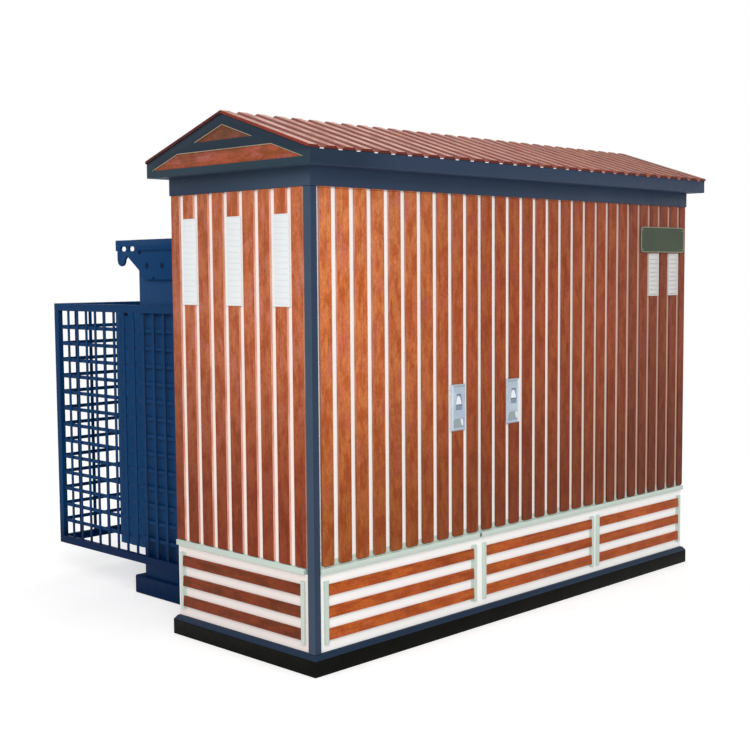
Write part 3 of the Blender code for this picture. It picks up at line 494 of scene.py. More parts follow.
def roof_red():
    """Red-brown coated roof sheet: pinkish crowns as a painted reflection, stronger at the left, dark
    slants as painted shade, darker to the right as painted shade.
    """
    material, n, shader = new_material("roof_red_coating_with_painted_sheen_and_shade", Specular_IOR_Level=0.16)
    place = n.own_place()
    skin = n.effect(PAINT_SKIN, Place=place, Variation=0.12, Gloss=0.44, Peel=180.0)
    dust = n.effect(WEATHERING, Place=place, Dust=0.15, Runs=0.0)["Dust"]
    x = n.parts(place)[0]
    streak = n.cloud(n.stretch(place, 46, 3.2, 3.2), detail=4, rough=0.65)
    patch = n.cloud(n.stretch(place, 12, 9, 9), detail=3, rough=0.6)
    mottle = n.cloud(n.shift(place, (3.0, 1.0, 0.0)), 9, 4, 0.6)
    turn = n.reckon("FRACT", n.plus(n.reckon("DIVIDE", x, RIB_PITCH), 0.5))
    off = n.times(n.reckon("ABSOLUTE", n.less(turn, 0.5)), RIB_PITCH)
    foot = RIB_VALLEY / 2
    head = foot + RIB_SLANT
    crown = n.span(off, head - 0.001, head + 0.002)
    slant = n.times(n.span(off, foot - 0.002, foot + 0.001), n.less(1.0, crown))
    base = n.blend(paint(160, 80, 56), paint(132, 56, 42), n.span(streak, 0.38, 0.68))
    rust = n.blend(base, paint(176, 98, 58), n.span(mottle, 0.5, 0.7))
    # worn here is the crowns' painted reflection: pinkish white at the left, brown at the right.
    worn = n.blend(paint(222, 172, 154), paint(132, 74, 52), n.span(x, -1.2, 1.2))
    # Where the crowns take the painted reflection, broken up by streaks.
    painted_crown_sheen = n.times(crown, n.span(n.plus(streak, patch), 0.86, 1.12, 0.2, 0.9))
    shadow = n.times(slant, n.span(x, -1.2, 1.2, 0.85, 0.22))
    lined = n.blend(n.blend(rust, worn, painted_crown_sheen), paint(104, 42, 42), shadow)
    # Painted shade: darker towards the right.
    painted_right_shade = n.blend(lined, (0.84, 0.90, 0.84, 1.0), n.span(x, 0.2, 1.3), "MULTIPLY")
    colour = n.blend(n.tint(painted_right_shade, skin["Tone"]), paint(196, 150, 138), dust)
    finish(n, shader, colour, skin["Roughness"], n.plus(skin["Height"], streak), 0.0006, 0.4)
    return material


def lock_metal():
    """Satin blue-grey metal with a fine brushed grain."""
    material, n, shader = new_material("lock_satin_metal", Metallic=0.35, Specular_IOR_Level=0.5)
    place = n.own_place()
    brush = n.cloud(n.stretch(place, 900, 900, 30), detail=3, rough=0.6)
    slow = n.cloud(place, 14, 3, 0.6)
    rubbed = n.effect(EDGE_WEAR, Place=place, Width=0.0015, Amount=0.8)["Mask"]
    base = n.blend(paint(180, 194, 210), paint(158, 172, 190), n.span(brush, 0.35, 0.7))
    toned = n.blend(base, paint(196, 212, 214), n.span(slow, 0.45, 0.7, 0.0, 0.7))
    colour = n.blend(toned, paint(232, 236, 244), rubbed)
    finish(n, shader, colour, n.span(brush, 0.3, 0.7, 0.34, 0.50), brush, 0.0002, 0.3)
    return material


def seen(n):
    """Return 1 for rays that show the background: from the camera, in a gloss or through glass."""
    path = n.add("ShaderNodeLightPath").outputs
    first = n.reckon("MAXIMUM", path["Is Camera Ray"], path["Is Glossy Ray"])
    return n.reckon("MAXIMUM", first, path["Is Transmission Ray"])


def floor_material():
    """A pale floor that is white where it is lit and keeps the object's shadow."""
    material = bpy.data.materials.new("pale_floor")
    material.use_nodes = True
    n = Nodes(material.node_tree)
    n.tree.nodes.clear()
    place = n.own_place()
    fine = n.span(n.cloud(place, 3.0, 3, 0.5), 0.3, 0.7)
    matt = n.fed("ShaderNodeBsdfDiffuse", n.blend((0.84, 0.84, 0.84, 1), (0.80, 0.80, 0.80, 1), fine))
    glow = n.fed("ShaderNodeEmission", UNTINTED, n.times(seen(n), FLOOR_GLOW))
    near = n.fed("ShaderNodeAddShader", matt, glow)
    far = n.fed("ShaderNodeEmission", UNTINTED, n.span(seen(n), 0.0, 1.0, 0.8, 1.0))
    away = n.add("ShaderNodeVectorMath", operation="LENGTH")
    n.feed(away.inputs[0], place)
    mixed = n.fed("ShaderNodeMixShader", n.span(away.outputs["Value"], 2.6, 6.0), near, far)
    n.feed(n.add("ShaderNodeOutputMaterial").inputs[0], mixed)
    return material


def facing(n, way):
    """Return how squarely the surface looks along X, Y or Z, either way."""
    normal = n.add("ShaderNodeNewGeometry").outputs["Normal"]
    return n.span(n.reckon("ABSOLUTE", n.parts(normal)[way]), 0.6, 0.8)


def fade(way, low, high, first, second):
    """Return a colour that goes from one paint to another between two places along X, Y or Z."""
    return lambda n, place: n.blend(paint(*first), paint(*second), n.span(n.parts(place)[way], low, high))


def navy_with_painted_light(n, place):
    """The frame's navy with painted light and shade: paler and greyer on the ends, darker at the eave's
    left corner, paler high on the band.
    """
    x, y, z = n.parts(place)
    # Painted shade: darker at the eave's left corner.
    corner = n.times(n.span(x, -0.95, -1.25), n.span(z, EAVE - 0.004, EAVE + 0.006))
    # Painted light: the band paler high up, where the eave shades it.
    high = n.times(n.span(z, EAVE - 0.044, EAVE - 0.004), n.span(z, EAVE + 0.004, EAVE))
    band = n.blend(paint(48, 62, 83), paint(58, 74, 98), high)
    # Painted light: the ends paler and greyer than the front, more so towards the front.
    end = n.blend(paint(62, 77, 95), paint(46, 59, 78), n.span(y, -0.42, 0.40))
    return n.blend(n.blend(band, paint(37, 51, 68), corner), end, facing(n, 0))


def roof_edge_with_painted_shade(n, place):
    """The roof's folded edges: red along the gables, darker on the back slope, and darker along the eaves
    as painted shade.
    """
    gable = n.blend(paint(122, 50, 39), paint(78, 32, 31), n.span(n.parts(place)[1], -0.01, 0.01))
    # Painted shade: the faces that look along Y, along the eaves, are darker.
    return n.blend(gable, paint(98, 39, 31), facing(n, 1))


def front_sheet_white_with_painted_shade(n, place):
    """The front sheets' white, darker and warmer towards the right as painted shade, over a pale green
    foot.
    """
    x, y, z = n.parts(place)
    # Painted shade: the white darkens and warms towards the right.
    white = n.blend(paint(255, 251, 247), paint(208, 164, 144), n.span(x, 0.0, 1.10))
    return n.blend(white, paint(198, 212, 202), n.span(z, DOOR_FOOT + 0.029, DOOR_FOOT + 0.021))


# Paints that change over the part: the guards and the tank darken to the foot, the gable frames above
# their beam, and the eave closers grow darker and redder to the right as painted shade
GUARD_FADE = fade(2, 0.34, 0.20, (19, 56, 95), (5, 36, 70))
TANK_FADE = fade(2, 0.42, 0.24, (21, 61, 103), (8, 42, 76))
GABLE_FADE = fade(2, EAVE + 0.036, EAVE + 0.066, (43, 60, 71), (38, 50, 62))
# Painted shade: the closers darker and redder towards the right.
CLOSER_PAINTED_SHADE = fade(0, -0.3, 1.0, (244, 233, 228), (172, 112, 98))

# Coats: colour, gloss, rubbed edges' colour, wear, dust, rain runs, variation and specular level
NAVY = coat("navy_frame_paint_with_painted_light", navy_with_painted_light, 0.50, (78, 92, 112), 0.30, 0.03, 0.20, 0.12, 0.12)
# Painted shade: the sill's navy is darker than the frame's.
NAVY_SILL_PAINTED_SHADE = coat("navy_sill_paint_with_painted_shade", (36, 50, 69), 0.50, (60, 76, 100), 0.2, 0.0, 0.2, 0.14, 0.10)
GABLE_NAVY = coat("gable_navy_paint", GABLE_FADE, 0.50, (78, 92, 104), 0.3, 0.03, 0.2, 0.12, 0.12)
BLACK = coat("black_plinth_paint", (18, 18, 15), 0.6, (60, 62, 58), 0.3, 0.008, 0.10, 0.18, 0.06)
PALE_GREEN = coat("pale_green_trim_paint", (198, 212, 202), 0.45, (228, 234, 228), 0.35, 0.06, 0.25, 0.05)
WHITE = coat("white_panel_paint", (255, 255, 253), 0.42, (252, 250, 248), 0.2, 0.0, 0.12, 0.02)
FRONT_WHITE = coat("front_sheet_paint_with_painted_shade", front_sheet_white_with_painted_shade, 0.42, (252, 250, 246), 0.2, 0.0, 0.10, 0.02)
END_WHITE = coat("warm_white_panel_paint", (244, 233, 228), 0.42, (250, 242, 238), 0.2, 0.02, 0.12, 0.02)
CLOSER_WHITE = coat("eave_closer_paint_with_painted_shade", CLOSER_PAINTED_SHADE, 0.42, (250, 242, 238), 0.0, 0.0, 0.12, 0.02)
END_SHEET_WHITE = coat("end_sheet_paint", (250, 243, 238), 0.42, (252, 246, 242), 0.2, 0.01, 0.1, 0.02)
VENT_WHITE = coat("vent_white_paint", (230, 234, 235), 0.40, (242, 244, 244), 0.2, 0.02, 0.20, 0.03)
FRONT_VENT_WHITE = coat("front_vent_paint", (208, 207, 204), 0.42, (236, 236, 232), 0.2, 0.02, 0.2, 0.03)
SIGN_GREEN = coat("sign_grey_green_paint", (68, 78, 64), 0.50, (132, 142, 124), 0.5, 0.05, 0.35, 0.24, 0.15)
SIGN_RIM = coat("sign_rim_paint", (136, 142, 118), 0.45, (198, 202, 180), 0.4, 0.05, 0.3, 0.16, 0.2)
BLUE = coat("tank_blue_paint", TANK_FADE, 0.50, (26, 66, 108), 0.3, 0.0, 0.25, 0.12, 0.06)
GUARD_BLUE = coat("guard_blue_paint", GUARD_FADE, 0.50, (24, 60, 100), 0.3, 0.0, 0.25, 0.12, 0.06)
# Painted light: the radiators are paler than the tank, against the shade of the guards in front of them.
RADIATOR_PAINTED_LIGHT_BLUE = coat("radiator_blue_paint_with_painted_light", (30, 80, 130), 0.50, (30, 74, 120), 0.2, 0.0, 0.2, 0.10, 0.06)
SKID_BLUE = coat("skid_blue_paint", (4, 36, 68), 0.55, (12, 50, 86), 0.3, 0.0, 0.2, 0.16, 0.04)
MARK_BLUE = coat("shaded_bolt_paint", (8, 34, 62), 0.55, (20, 50, 84), 0.2, 0.0, 0.1, 0.2, 0.06)
RECESS_GREY = coat("lock_recess_metal", (136, 146, 164), 0.5, (170, 180, 194), 0.3, 0.0, 0.2, 0.1, 0.3)
RECESS_TEAL = coat("lock_hollow_metal", (150, 164, 168), 0.5, (180, 190, 194), 0.3, 0.0, 0.2, 0.1, 0.3)
LATCH_WHITE = coat("latch_white_metal", (238, 240, 250), 0.4, (248, 250, 252), 0.3, 0.0, 0.1, 0.04, 0.4)
LOCK_PAINTED_HIGHLIGHT = coat("lock_painted_highlight_metal", (222, 228, 236), 0.4, (240, 244, 248), 0.3, 0.0, 0.1, 0.05, 0.3)
KEEPER_GREY = coat("keeper_grey_metal", (100, 108, 104), 0.5, (150, 156, 152), 0.3, 0.0, 0.2, 0.2, 0.2)
INFILL_TRIM = coat("infill_edge_trim", (160, 146, 122), 0.5, (214, 206, 188), 0.4, 0.0, 0.3, 0.25, 0.3)
ROOF_EDGE = coat("roof_edge_coating_with_painted_shade", roof_edge_with_painted_shade, 0.5, (180, 104, 84), 0.4, 0.0, 0.4, 0.35, 0.15)
LOCK_METAL = lock_metal()
ROOF_RED = roof_red()

# How boards lie: which of X, Y and Z runs across, along and through them
UPRIGHT_X = (0, 2, 1)
UPRIGHT_Y = (1, 2, 0)
LYING_X = (2, 0, 1)
LYING_Y = (2, 1, 0)

# Timber prints: the light, deep, pink and dark tone of each
FRONT_TONES = ((211, 122, 69), (186, 91, 44), (202, 107, 84), (119, 58, 33))
END_TONES = ((193, 108, 69), (170, 84, 46), (195, 114, 92), (113, 54, 31))
SLAT_TONES = ((184, 92, 37), (160, 72, 27), (178, 83, 48), (124, 56, 27))
SIDE_SLAT_TONES = ((124, 56, 29), (101, 47, 19), (129, 59, 38), (77, 37, 19))
GABLE_TONES = ((158, 78, 54), (128, 68, 38), (166, 88, 78), (92, 50, 32))
FRONT_TIMBER = printed_timber("front_board", UPRIGHT_X, FRONT_SEAM, BOARD_PITCH, front_painted_shade, FRONT_TONES)
FIXED_TIMBER = printed_timber("fixed_board", UPRIGHT_X, FIXED_SEAM, FIXED_PITCH, front_painted_shade, FRONT_TONES)
BACK_TIMBER = printed_timber("back_board", UPRIGHT_X, FRONT_SEAM, BOARD_PITCH, end_painted_shade, FRONT_TONES)
END_TIMBER = printed_timber("end_board", UPRIGHT_Y, END_SEAM, BOARD_PITCH, end_painted_shade, END_TONES)
FRONT_SLAT_TIMBER = printed_timber("front_slat", LYING_X, SLAT_START, SLAT_PITCH, even_shade, SLAT_TONES)
END_SLAT_TIMBER = printed_timber("end_slat", LYING_Y, SLAT_START, SLAT_PITCH, even_shade, SIDE_SLAT_TONES)
GABLE_TIMBER = printed_timber("gable", LYING_Y, GABLE_START, GABLE_PITCH, gable_shade, GABLE_TONES)
# Painted shade: the front boards' sides are greyer and darker than their print, and take the front's
# painted shade.
FRONT_BOARD_SIDE_PAINTED_SHADE = board_side("front_board_side_coating_with_painted_shade", (200, 146, 130), (164, 104, 86), front_painted_shade)
END_BOARD_SIDE = board_side("end_board_side_coating", (226, 176, 158), (200, 132, 108), no_shade)


def link(name, data):
    """Put a new object in the scene."""
    made = bpy.data.objects.new(name, data)
    bpy.context.scene.collection.objects.link(made)
    return made


def smooth(made, rounding):
    """Shade smoothly, with rounded edges if a radius is given."""
    made.data.polygons.foreach_set("use_smooth", [True] * len(made.data.polygons))
    if rounding:
        edge = made.modifiers.new("rounded edges", "BEVEL")
        edge.width = rounding
        edge.segments = ROUNDING_STEPS
        edge.limit_method = "ANGLE"
        edge.angle_limit = math.radians(ROUNDING_ANGLE)
        edge.harden_normals = True
    else:
        made.data.set_sharp_from_angle(angle=math.radians(SHARP_ANGLE))


class Shape:
    """The mesh of one piece while it is made, in metres in the part's frame."""

    def __init__(self):
        self.mesh = bmesh.new()

    def loft(self, rings, hoop=False):
        """Skin over rings of points. Close both ends, or join the last ring to the first in a hoop."""
        rows = [[self.mesh.verts.new(point) for point in ring] for ring in rings]
        for near, far in zip(rows, rows[1:] + rows[:1] if hoop else rows[1:]):
            for here in range(len(near)):
                there = (here + 1) % len(near)
                self.mesh.faces.new((near[here], near[there], far[there], far[here]))
        if not hoop:
            self.mesh.faces.new(rows[0][::-1])
            self.mesh.faces.new(rows[-1])

    def block(self, first, second):
        """A block between two opposite corners."""
        low = [min(pair) for pair in zip(first, second)]
        high = [max(pair) for pair in zip(first, second)]
        corners = [(low[0], low[1]), (high[0], low[1]), (high[0], high[1]), (low[0], high[1])]
        self.loft([[(x, y, z) for x, y in corners] for z in (low[2], high[2])])

    def plate(self, outline, point, back, front):
        """A flat outline of runs and rises drawn out from one reach to another."""
        self.loft([[point(run, rise, reach) for run, rise in outline] for reach in (back, front)])

    def bead(self, path, width, point, back, front):
        """A strip of one width along each leg of a path of runs and rises, on its left."""
        for (run, rise), (next_run, next_rise) in zip(path, path[1:]):
            length = math.hypot(next_run - run, next_rise - rise)
            side = (-(next_rise - rise) * width / length, (next_run - run) * width / length)
            outline = [(run, rise), (next_run, next_rise), (next_run + side[0], next_rise + side[1]),
                       (run + side[0], rise + side[1])]
            self.plate(outline, point, back, front)

    def stud(self, centre, direction, radius, height, sides=6, dome=0.0):
        """A bolt head, rivet or pin on a face, domed if asked."""
        direction = Vector(direction).normalized()
        side = direction.orthogonal().normalized()
        other = direction.cross(side)
        rings = [(radius, 0.0), (radius, height * (1 - dome))]
        if dome:
            rings += [(radius * 0.75, height * (1 - dome * 0.35)), (radius * 0.35, height)]
        else:
            rings += [(radius * 0.86, height)]
        turns = [2 * math.pi * k / sides for k in range(sides)]
        self.loft([
            [Vector(centre) + direction * h + (side * math.cos(t) + other * math.sin(t)) * r for t in turns]
            for r, h in rings
        ])

    def to_object(self, name):
        """Turn the shape into an object of the scene and use it up."""
        bmesh.ops.recalc_face_normals(self.mesh, faces=self.mesh.faces)
        data = bpy.data.meshes.new(name)
        self.mesh.to_mesh(data)
        self.mesh.free()
        return link(name, data)

    def piece(self, name, material, slot, body="cabinet", rounding=0.0, replaces=()):
        """Make the object, dress it and let it ride on its body."""
        made = self.to_object(name)
        made.data.materials.append(material)
        smooth(made, rounding)
        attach(made, body)
        if replaces:
            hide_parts(*replaces)
        return made


def cut(solid, tool):
    """Return a shape less another, both of them used up."""
    kept = solid.to_object("cutting")
    taken = tool.to_object("cutting")
    take = kept.modifiers.new("cut", "BOOLEAN")
    take.operation = "DIFFERENCE"
    take.solver = "EXACT"
    take.object = taken
    bpy.context.view_layer.update()
    result = Shape()
    result.mesh.from_mesh(kept.evaluated_get(bpy.context.evaluated_depsgraph_get()).data)
    bpy.data.objects.remove(kept)
    bpy.data.objects.remove(taken)
    return result


def dress(node, material, rounding):
    """Give a solid that stays its paint, and round its edges."""
    made = solids[node]
    for place in made.material_slots:
        place.material = material
    weld = made.modifiers.new("joined corners", "WELD")
    weld.merge_threshold = WELD_REACH
    smooth(made, rounding)


def paint_sides(made, along, material):
    """Give the faces that look along a wall a material of their own."""
    made.data.materials.append(material)
    for face in made.data.polygons:
        if abs(face.normal[along]) > SIDE_FACING:
            face.material_index = 1


def board_spans(left, right, seam, pitch):
    """Return the boards' sides between two ends of a wall, with a gap on every seam."""
    spans = []
    for board in range(math.floor((left - seam) / pitch), math.ceil((right - seam) / pitch)):
        start = max(left + BOARD_MARGIN, seam + board * pitch + BOARD_GAP / 2)
        end = min(right - BOARD_MARGIN, seam + (board + 1) * pitch - BOARD_GAP / 2)
        if end - start > NARROWEST_BOARD:
            spans.append((start, end))
    return spans


def board_outline(left, right, foot, top, radius):
    """Return a board's outline, its two foot corners rounded."""
    turns = [math.pi / 2 * k / BOARD_CORNER_STEPS for k in range(BOARD_CORNER_STEPS + 1)]
    near = [(left + radius - radius * math.cos(t), foot + radius - radius * math.sin(t)) for t in turns]
    far = [(right - radius + radius * math.sin(t), foot + radius - radius * math.cos(t)) for t in turns]
    return near + far + [(right, top), (left, top)]


def lay_boards(shape, wall, node, seam, pitch, covers):
    """Lay the boards of one wall and leave out what vents and lock plates cover."""
    left, right, foot, top = wall.span(node)
    foot_radius = BOARD_FOOT_RADIUS if wall.along == 0 else END_FOOT_RADIUS
    openings = [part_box(cover) for cover in covers]
    for start, end in board_spans(left, right, seam, pitch):
        feet = [(foot + FOOT_CLEARANCE, foot_radius)]
        heads = [top - HEAD_CLEARANCE]
        for low, high in openings:
            if low[wall.along] < (start + end) / 2 < high[wall.along]:
                feet.append((high.z, SAWN_RADIUS))
                heads.append(low.z)
        for (bottom, radius), head in zip(sorted(feet), sorted(heads)):
            shape.plate(board_outline(start, end, bottom, head, radius), wall.point, 0.0, BOARD_THICKNESS)


def folded_sheet(shape, wall, node):
    """The sheet behind the boards: a shallow tray with its sides folded in at the back."""
    back = SHEET_SKIN - SHEET_DEPTH
    rings = [(0.0, 0.0), (0.0, -SHEET_DEPTH), (SHEET_LIP, -SHEET_DEPTH), (SHEET_LIP, back),
             (SHEET_SKIN, back), (SHEET_SKIN, -SHEET_SKIN)]
    shape.loft(wall.rectangles(node, rings))


def stiffeners(shape, wall, node):
    """Folded hat sections up the inside of a sheet."""
    left, right, foot, top = wall.span(node)
    brim = -SHEET_SKIN - STIFFENER_SKIN
    deep = SHEET_SKIN - SHEET_DEPTH
    profile = [(-0.034, -SHEET_SKIN), (0.034, -SHEET_SKIN), (0.034, brim), (0.020, brim), (0.014, deep),
               (-0.014, deep), (-0.020, brim), (-0.034, brim)]
    ends = (foot + SHEET_LIP + STIFFENER_CLEARANCE, top - SHEET_LIP - STIFFENER_CLEARANCE)
    for k in range(1, STIFFENERS + 1):
        middle = left + (right - left) * k / (STIFFENERS + 1)
        shape.loft([[wall.point(middle + run, rise, reach) for run, reach in profile] for rise in ends])


def boarded_wall(node, wall, seam, timber, body="cabinet", covers=(), pitch=BOARD_PITCH):
    """Dress one boarded wall or door."""
    backing = Shape()
    folded_sheet(backing, wall, node)
    stiffeners(backing, wall, node)
    white = FRONT_WHITE if wall is FRONT else END_SHEET_WHITE
    backing.piece(node + "_sheet", white, "timber_look", body, SHEET_ROUNDING, (node,))
    boards = Shape()
    lay_boards(boards, wall, node, seam, pitch, covers)
    made = boards.piece(node + "_boards", timber, "timber_look", body, BOARD_EDGE_RADIUS)
    paint_sides(made, wall.along, FRONT_BOARD_SIDE_PAINTED_SHADE if wall.along == 0 else END_BOARD_SIDE)


def louvred_vent(node, wall):
    """A pressed vent: a plate with a raised rim and shallow hoods."""
    left, right, foot, top = wall.span(node)
    bed, hood = FRONT_VENT_DEPTHS if wall is FRONT else END_VENT_DEPTHS
    rings = [(0.0, 0.0), (0.0, VENT_RIM - 0.001), (0.001, VENT_RIM), (0.0050, VENT_RIM), (0.0056, bed)]
    shape = Shape()
    shape.loft(wall.rectangles(node, rings))
    count = round((top - foot) / LOUVRE_PITCH)
    pitch = (top - foot - 2 * VENT_MARGIN) / count
    ends = [(left + 0.008, 0.4), (left + 0.011, 1.0), (right - 0.011, 1.0), (right - 0.008, 0.4)]
    for k in range(count):
        low = foot + VENT_MARGIN + k * pitch
        profile = [(-0.001, low + 0.0035), (hood - 0.0004, low + 0.0022), (hood, low + 0.0045),
                   (0.0008, low + pitch - 0.002), (-0.001, low + pitch - 0.002)]
        shape.loft([
            [wall.point(run, rise, bed + reach * share) for reach, rise in profile] for run, share in ends
        ])
    white = FRONT_VENT_WHITE if wall is FRONT else VENT_WHITE
    shape.piece(node + "_pressing", white, "vent_white", replaces=(node,))


def slatted_base(node, wall, timber, sheet, right_margin=STRIP_MARGIN):
    """A base panel: folded sheet, three timber-look louvre slats and a channel strip at each end."""
    left, right, foot = wall.span(node)[:3]
    panel = Shape()
    folded_sheet(panel, wall, node)
    panel.piece(node + "_sheet", sheet, "panel_white", rounding=SHEET_ROUNDING, replaces=(node,))
    lows = [foot + FIRST_SLAT + k * SLAT_PITCH for k in range(SLAT_COUNT)]
    slat_ends = (left + STRIP_MARGIN + STRIP_RAISED, right - right_margin - STRIP_RAISED)
    slats = Shape()
    for low in lows:
        profile = [(0.0002, low + 0.004), (SLAT_REACH - 0.0012, low), (SLAT_REACH, low + 0.0012),
                   (0.0085, low + SLAT_HEIGHT), (0.0002, low + SLAT_HEIGHT)]
        slats.loft([[wall.point(run, rise, reach) for reach, rise in profile] for run in slat_ends])
    slats.piece(node + "_slats", timber, "timber_look", rounding=0.0008)
    strip_ends = (lows[0] - STRIP_OVERRUN, lows[-1] + SLAT_HEIGHT + STRIP_OVERRUN)
    profile = [(0.0, 0.0002), (STRIP_WIDTH, 0.0002), (STRIP_WIDTH, 0.0016), (STRIP_RAISED + 0.0005, 0.0018),
               (STRIP_RAISED, STRIP_REACH), (0.0015, STRIP_REACH), (0.0, STRIP_REACH - 0.0015)]
    strips = Shape()
    for outer, way in ((left + STRIP_MARGIN, 1), (right - right_margin, -1)):
        strips.loft([
            [wall.point(outer + way * run, rise, reach) for run, reach in profile] for rise in strip_ends
        ])
    strips.piece(node + "_strips", PALE_GREEN, "trim_pale_green", rounding=0.0009)


def lock_plate(node, body):
    """A lock plate: bevelled body, a window with the latch's wedge and a window with the key lever; painted
    highlights on its sides and outer edge, painted shade in the key window.
    """
    left, right, foot, top = FRONT.span(node)
    middle = (left + right) / 2
    half = (right - left) / 2
    tall = top - foot
    proud = FRONT.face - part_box(node)[0].y
    face = proud - LOCK_STEP

    def at(run, rise, reach):
        return FRONT.point(middle + run, foot + rise, reach)

    solid = Shape()
    rings = [(0.0, 0.002), (0.0, face - 0.004), (0.0035, face - 0.0006), (0.0045, face), (0.0052, face)]
    solid.loft(FRONT.rectangles(node, rings))
    latch = [(-0.013, 0.165), (0.017, 0.165), (0.026, 0.115), (0.024, 0.093), (-0.019, 0.093),
             (-0.020, 0.115)]
    key = [(-0.036, 0.045), (-0.022, 0.054), (0.036, 0.054), (0.036, 0.016), (-0.040, 0.013)]
    windows = Shape()
    windows.plate(latch, at, proud - 0.0075, proud + 0.01)
    windows.plate(key, at, proud - 0.004, proud + 0.01)
    made = cut(solid, windows).piece(node + "_body", LOCK_METAL, "lock_metal", body, 0.0007, (node,))
    # Painted light: the body's side faces take the pale highlight paint.
    made.data.materials.append(LOCK_PAINTED_HIGHLIGHT)
    for side in made.data.polygons:
        if abs(side.center.x - middle) > half - 0.001:
            side.material_index = 1
    lining = Shape()
    lining.plate(latch, at, 0.003, proud - 0.0072)
    lining.piece(node + "_latch_window", RECESS_GREY, "lock_metal", body)
    # Painted shade: the key window's lining is darker than the plate. The block is a darker band along the
    # plate's top.
    hollow = Shape()
    hollow.plate(key, at, proud - 0.006, proud - 0.0036)
    hollow.block(at(-half + 0.006, tall - 0.013, face - 0.003),
                 at(half - 0.006, tall - 0.006, proud - 0.0001))
    hollow.piece(node + "_hollow", RECESS_TEAL, "lock_metal", body, 0.0004)
    bright = Shape()
    wedge = ((0.020, 0.006, 0.156, proud - 0.0074), (0.0185, 0.0045, 0.154, proud - 0.0006))
    bright.loft([
        [at(0.003 - wide, 0.119, reach), at(0.003 + wide, 0.119, reach),
         at(0.003 + narrow, tip, reach), at(0.003 - narrow, tip, reach)]
        for wide, narrow, tip, reach in wedge
    ])
    lever = [(0.014, 0.052), (0.029, 0.052), (0.031, 0.022), (0.023, 0.022)]
    bright.plate(lever, at, proud - 0.0042, proud - 0.0003)
    bright.piece(node + "_levers", LATCH_WHITE, "lock_metal", body, 0.0006)
    # Painted highlight: a pale strip along the plate's side away from the doors' seam.
    way, width = (-1, 0.006) if body == "left_door_leaf" else (1, 0.012)
    outer = half - 0.0045
    band = Shape()
    band.block(at(way * outer, 0.006, face - 0.002), at(way * (outer - width), tall - 0.006, proud))
    band.piece(node + "_painted_highlight", LOCK_PAINTED_HIGHLIGHT, "lock_metal", body, 0.0003)


def rounded_outline(left, right, foot, top, radius):
    """Return a rectangle's outline with rounded corners."""
    centres = ((right - radius, top - radius), (left + radius, top - radius),
               (left + radius, foot + radius), (right - radius, foot + radius))
    points = []
    for quarter, (x, z) in enumerate(centres):
        for k in range(SIGN_CORNER_STEPS + 1):
            turn = math.radians(90 * (quarter + k / SIGN_CORNER_STEPS))
            points.append((x + radius * math.cos(turn), z + radius * math.sin(turn)))
    return points


def sign_plate():
    """The bare sign plate, its thin pale rim and its rivets."""
    left, right, foot, top = FRONT.span("sign_plate")
    front = FRONT.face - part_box("sign_plate")[0].y

    def outlines(rings):
        """Return the plate's outline once for each inset and reach."""
        insets = [(rounded_outline(left + i, right - i, foot + i, top - i, SIGN_RADIUS - i), reach)
                  for i, reach in rings]
        return [[FRONT.point(run, rise, reach) for run, rise in outline] for outline, reach in insets]

    plate = Shape()
    rings = [(0.0, BOARD_THICKNESS), (0.0, front - 0.003), (0.004, front - 0.003), (0.005, front - 0.0015)]
    plate.loft(outlines(rings))
    plate.piece("sign_plate_face", SIGN_GREEN, "sign_grey_green", replaces=("sign_plate",))
    rim = Shape()
    rings = [(0.0, front - SIGN_RIM_DEPTH), (0.0003, front - 0.0006), (0.0012, front), (0.0034, front),
             (0.0044, front - 0.0008), (0.0046, front - SIGN_RIM_DEPTH)]
    rim.loft(outlines(rings), hoop=True)
    rim.piece("sign_plate_rim", SIGN_RIM, "sign_grey_green")
    rivets = Shape()
    for run in (left + SIGN_RADIUS, right - SIGN_RADIUS):
        for rise in (foot + SIGN_RADIUS, top - SIGN_RADIUS):
            rivets.stud(FRONT.point(run, rise, front - 0.002), (0, -1, 0), 0.0035, 0.002, 12, 0.6)
    rivets.piece("sign_plate_rivets", SIGN_RIM, "sign_grey_green")


def door_stops():
    """Lips that shut the slots under and over the doors, the upper one with short board ends on it."""
    low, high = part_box("left_door")
    face = low.y + BOARD_THICKNESS
    left, right = low.x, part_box("right_door")[1].x
    rail_top, band_foot = FRONT.span("front_fixed_panel")[2:]
    head = (high.z + CLEARANCE, band_foot + LIP_OVERLAP)
    lips = (
        ("front_rail_lip", PALE_GREEN, "trim_pale_green", rail_top - LIP_OVERLAP, low.z - CLEARANCE),
        ("header_band_lip", FRONT_WHITE, "panel_white", *head),
    )
    for name, material, slot, foot, top in lips:
        shape = Shape()
        shape.block((left, face - SHEET_SKIN, foot), (right, face + LIP_THICKNESS, top))
        shape.piece(name, material, slot, rounding=0.0005)
    ends = Shape()
    for start, end in board_spans(left, right, FRONT_SEAM, BOARD_PITCH):
        ends.block((start, low.y, head[0]), (end, face, head[1]))
    ends.piece("door_board_ends", FRONT_TIMBER, "timber_look", rounding=0.0005)
    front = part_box("front_rail")[0].y
    keeper = Shape()
    keeper.block((FRONT_SEAM - 0.006, front - 0.0015, rail_top - 0.019),
                 (FRONT_SEAM + 0.006, front + 0.001, rail_top - 0.002))
    keeper.piece("door_seam_keeper", KEEPER_GREY, "trim_pale_green", rounding=0.0004)


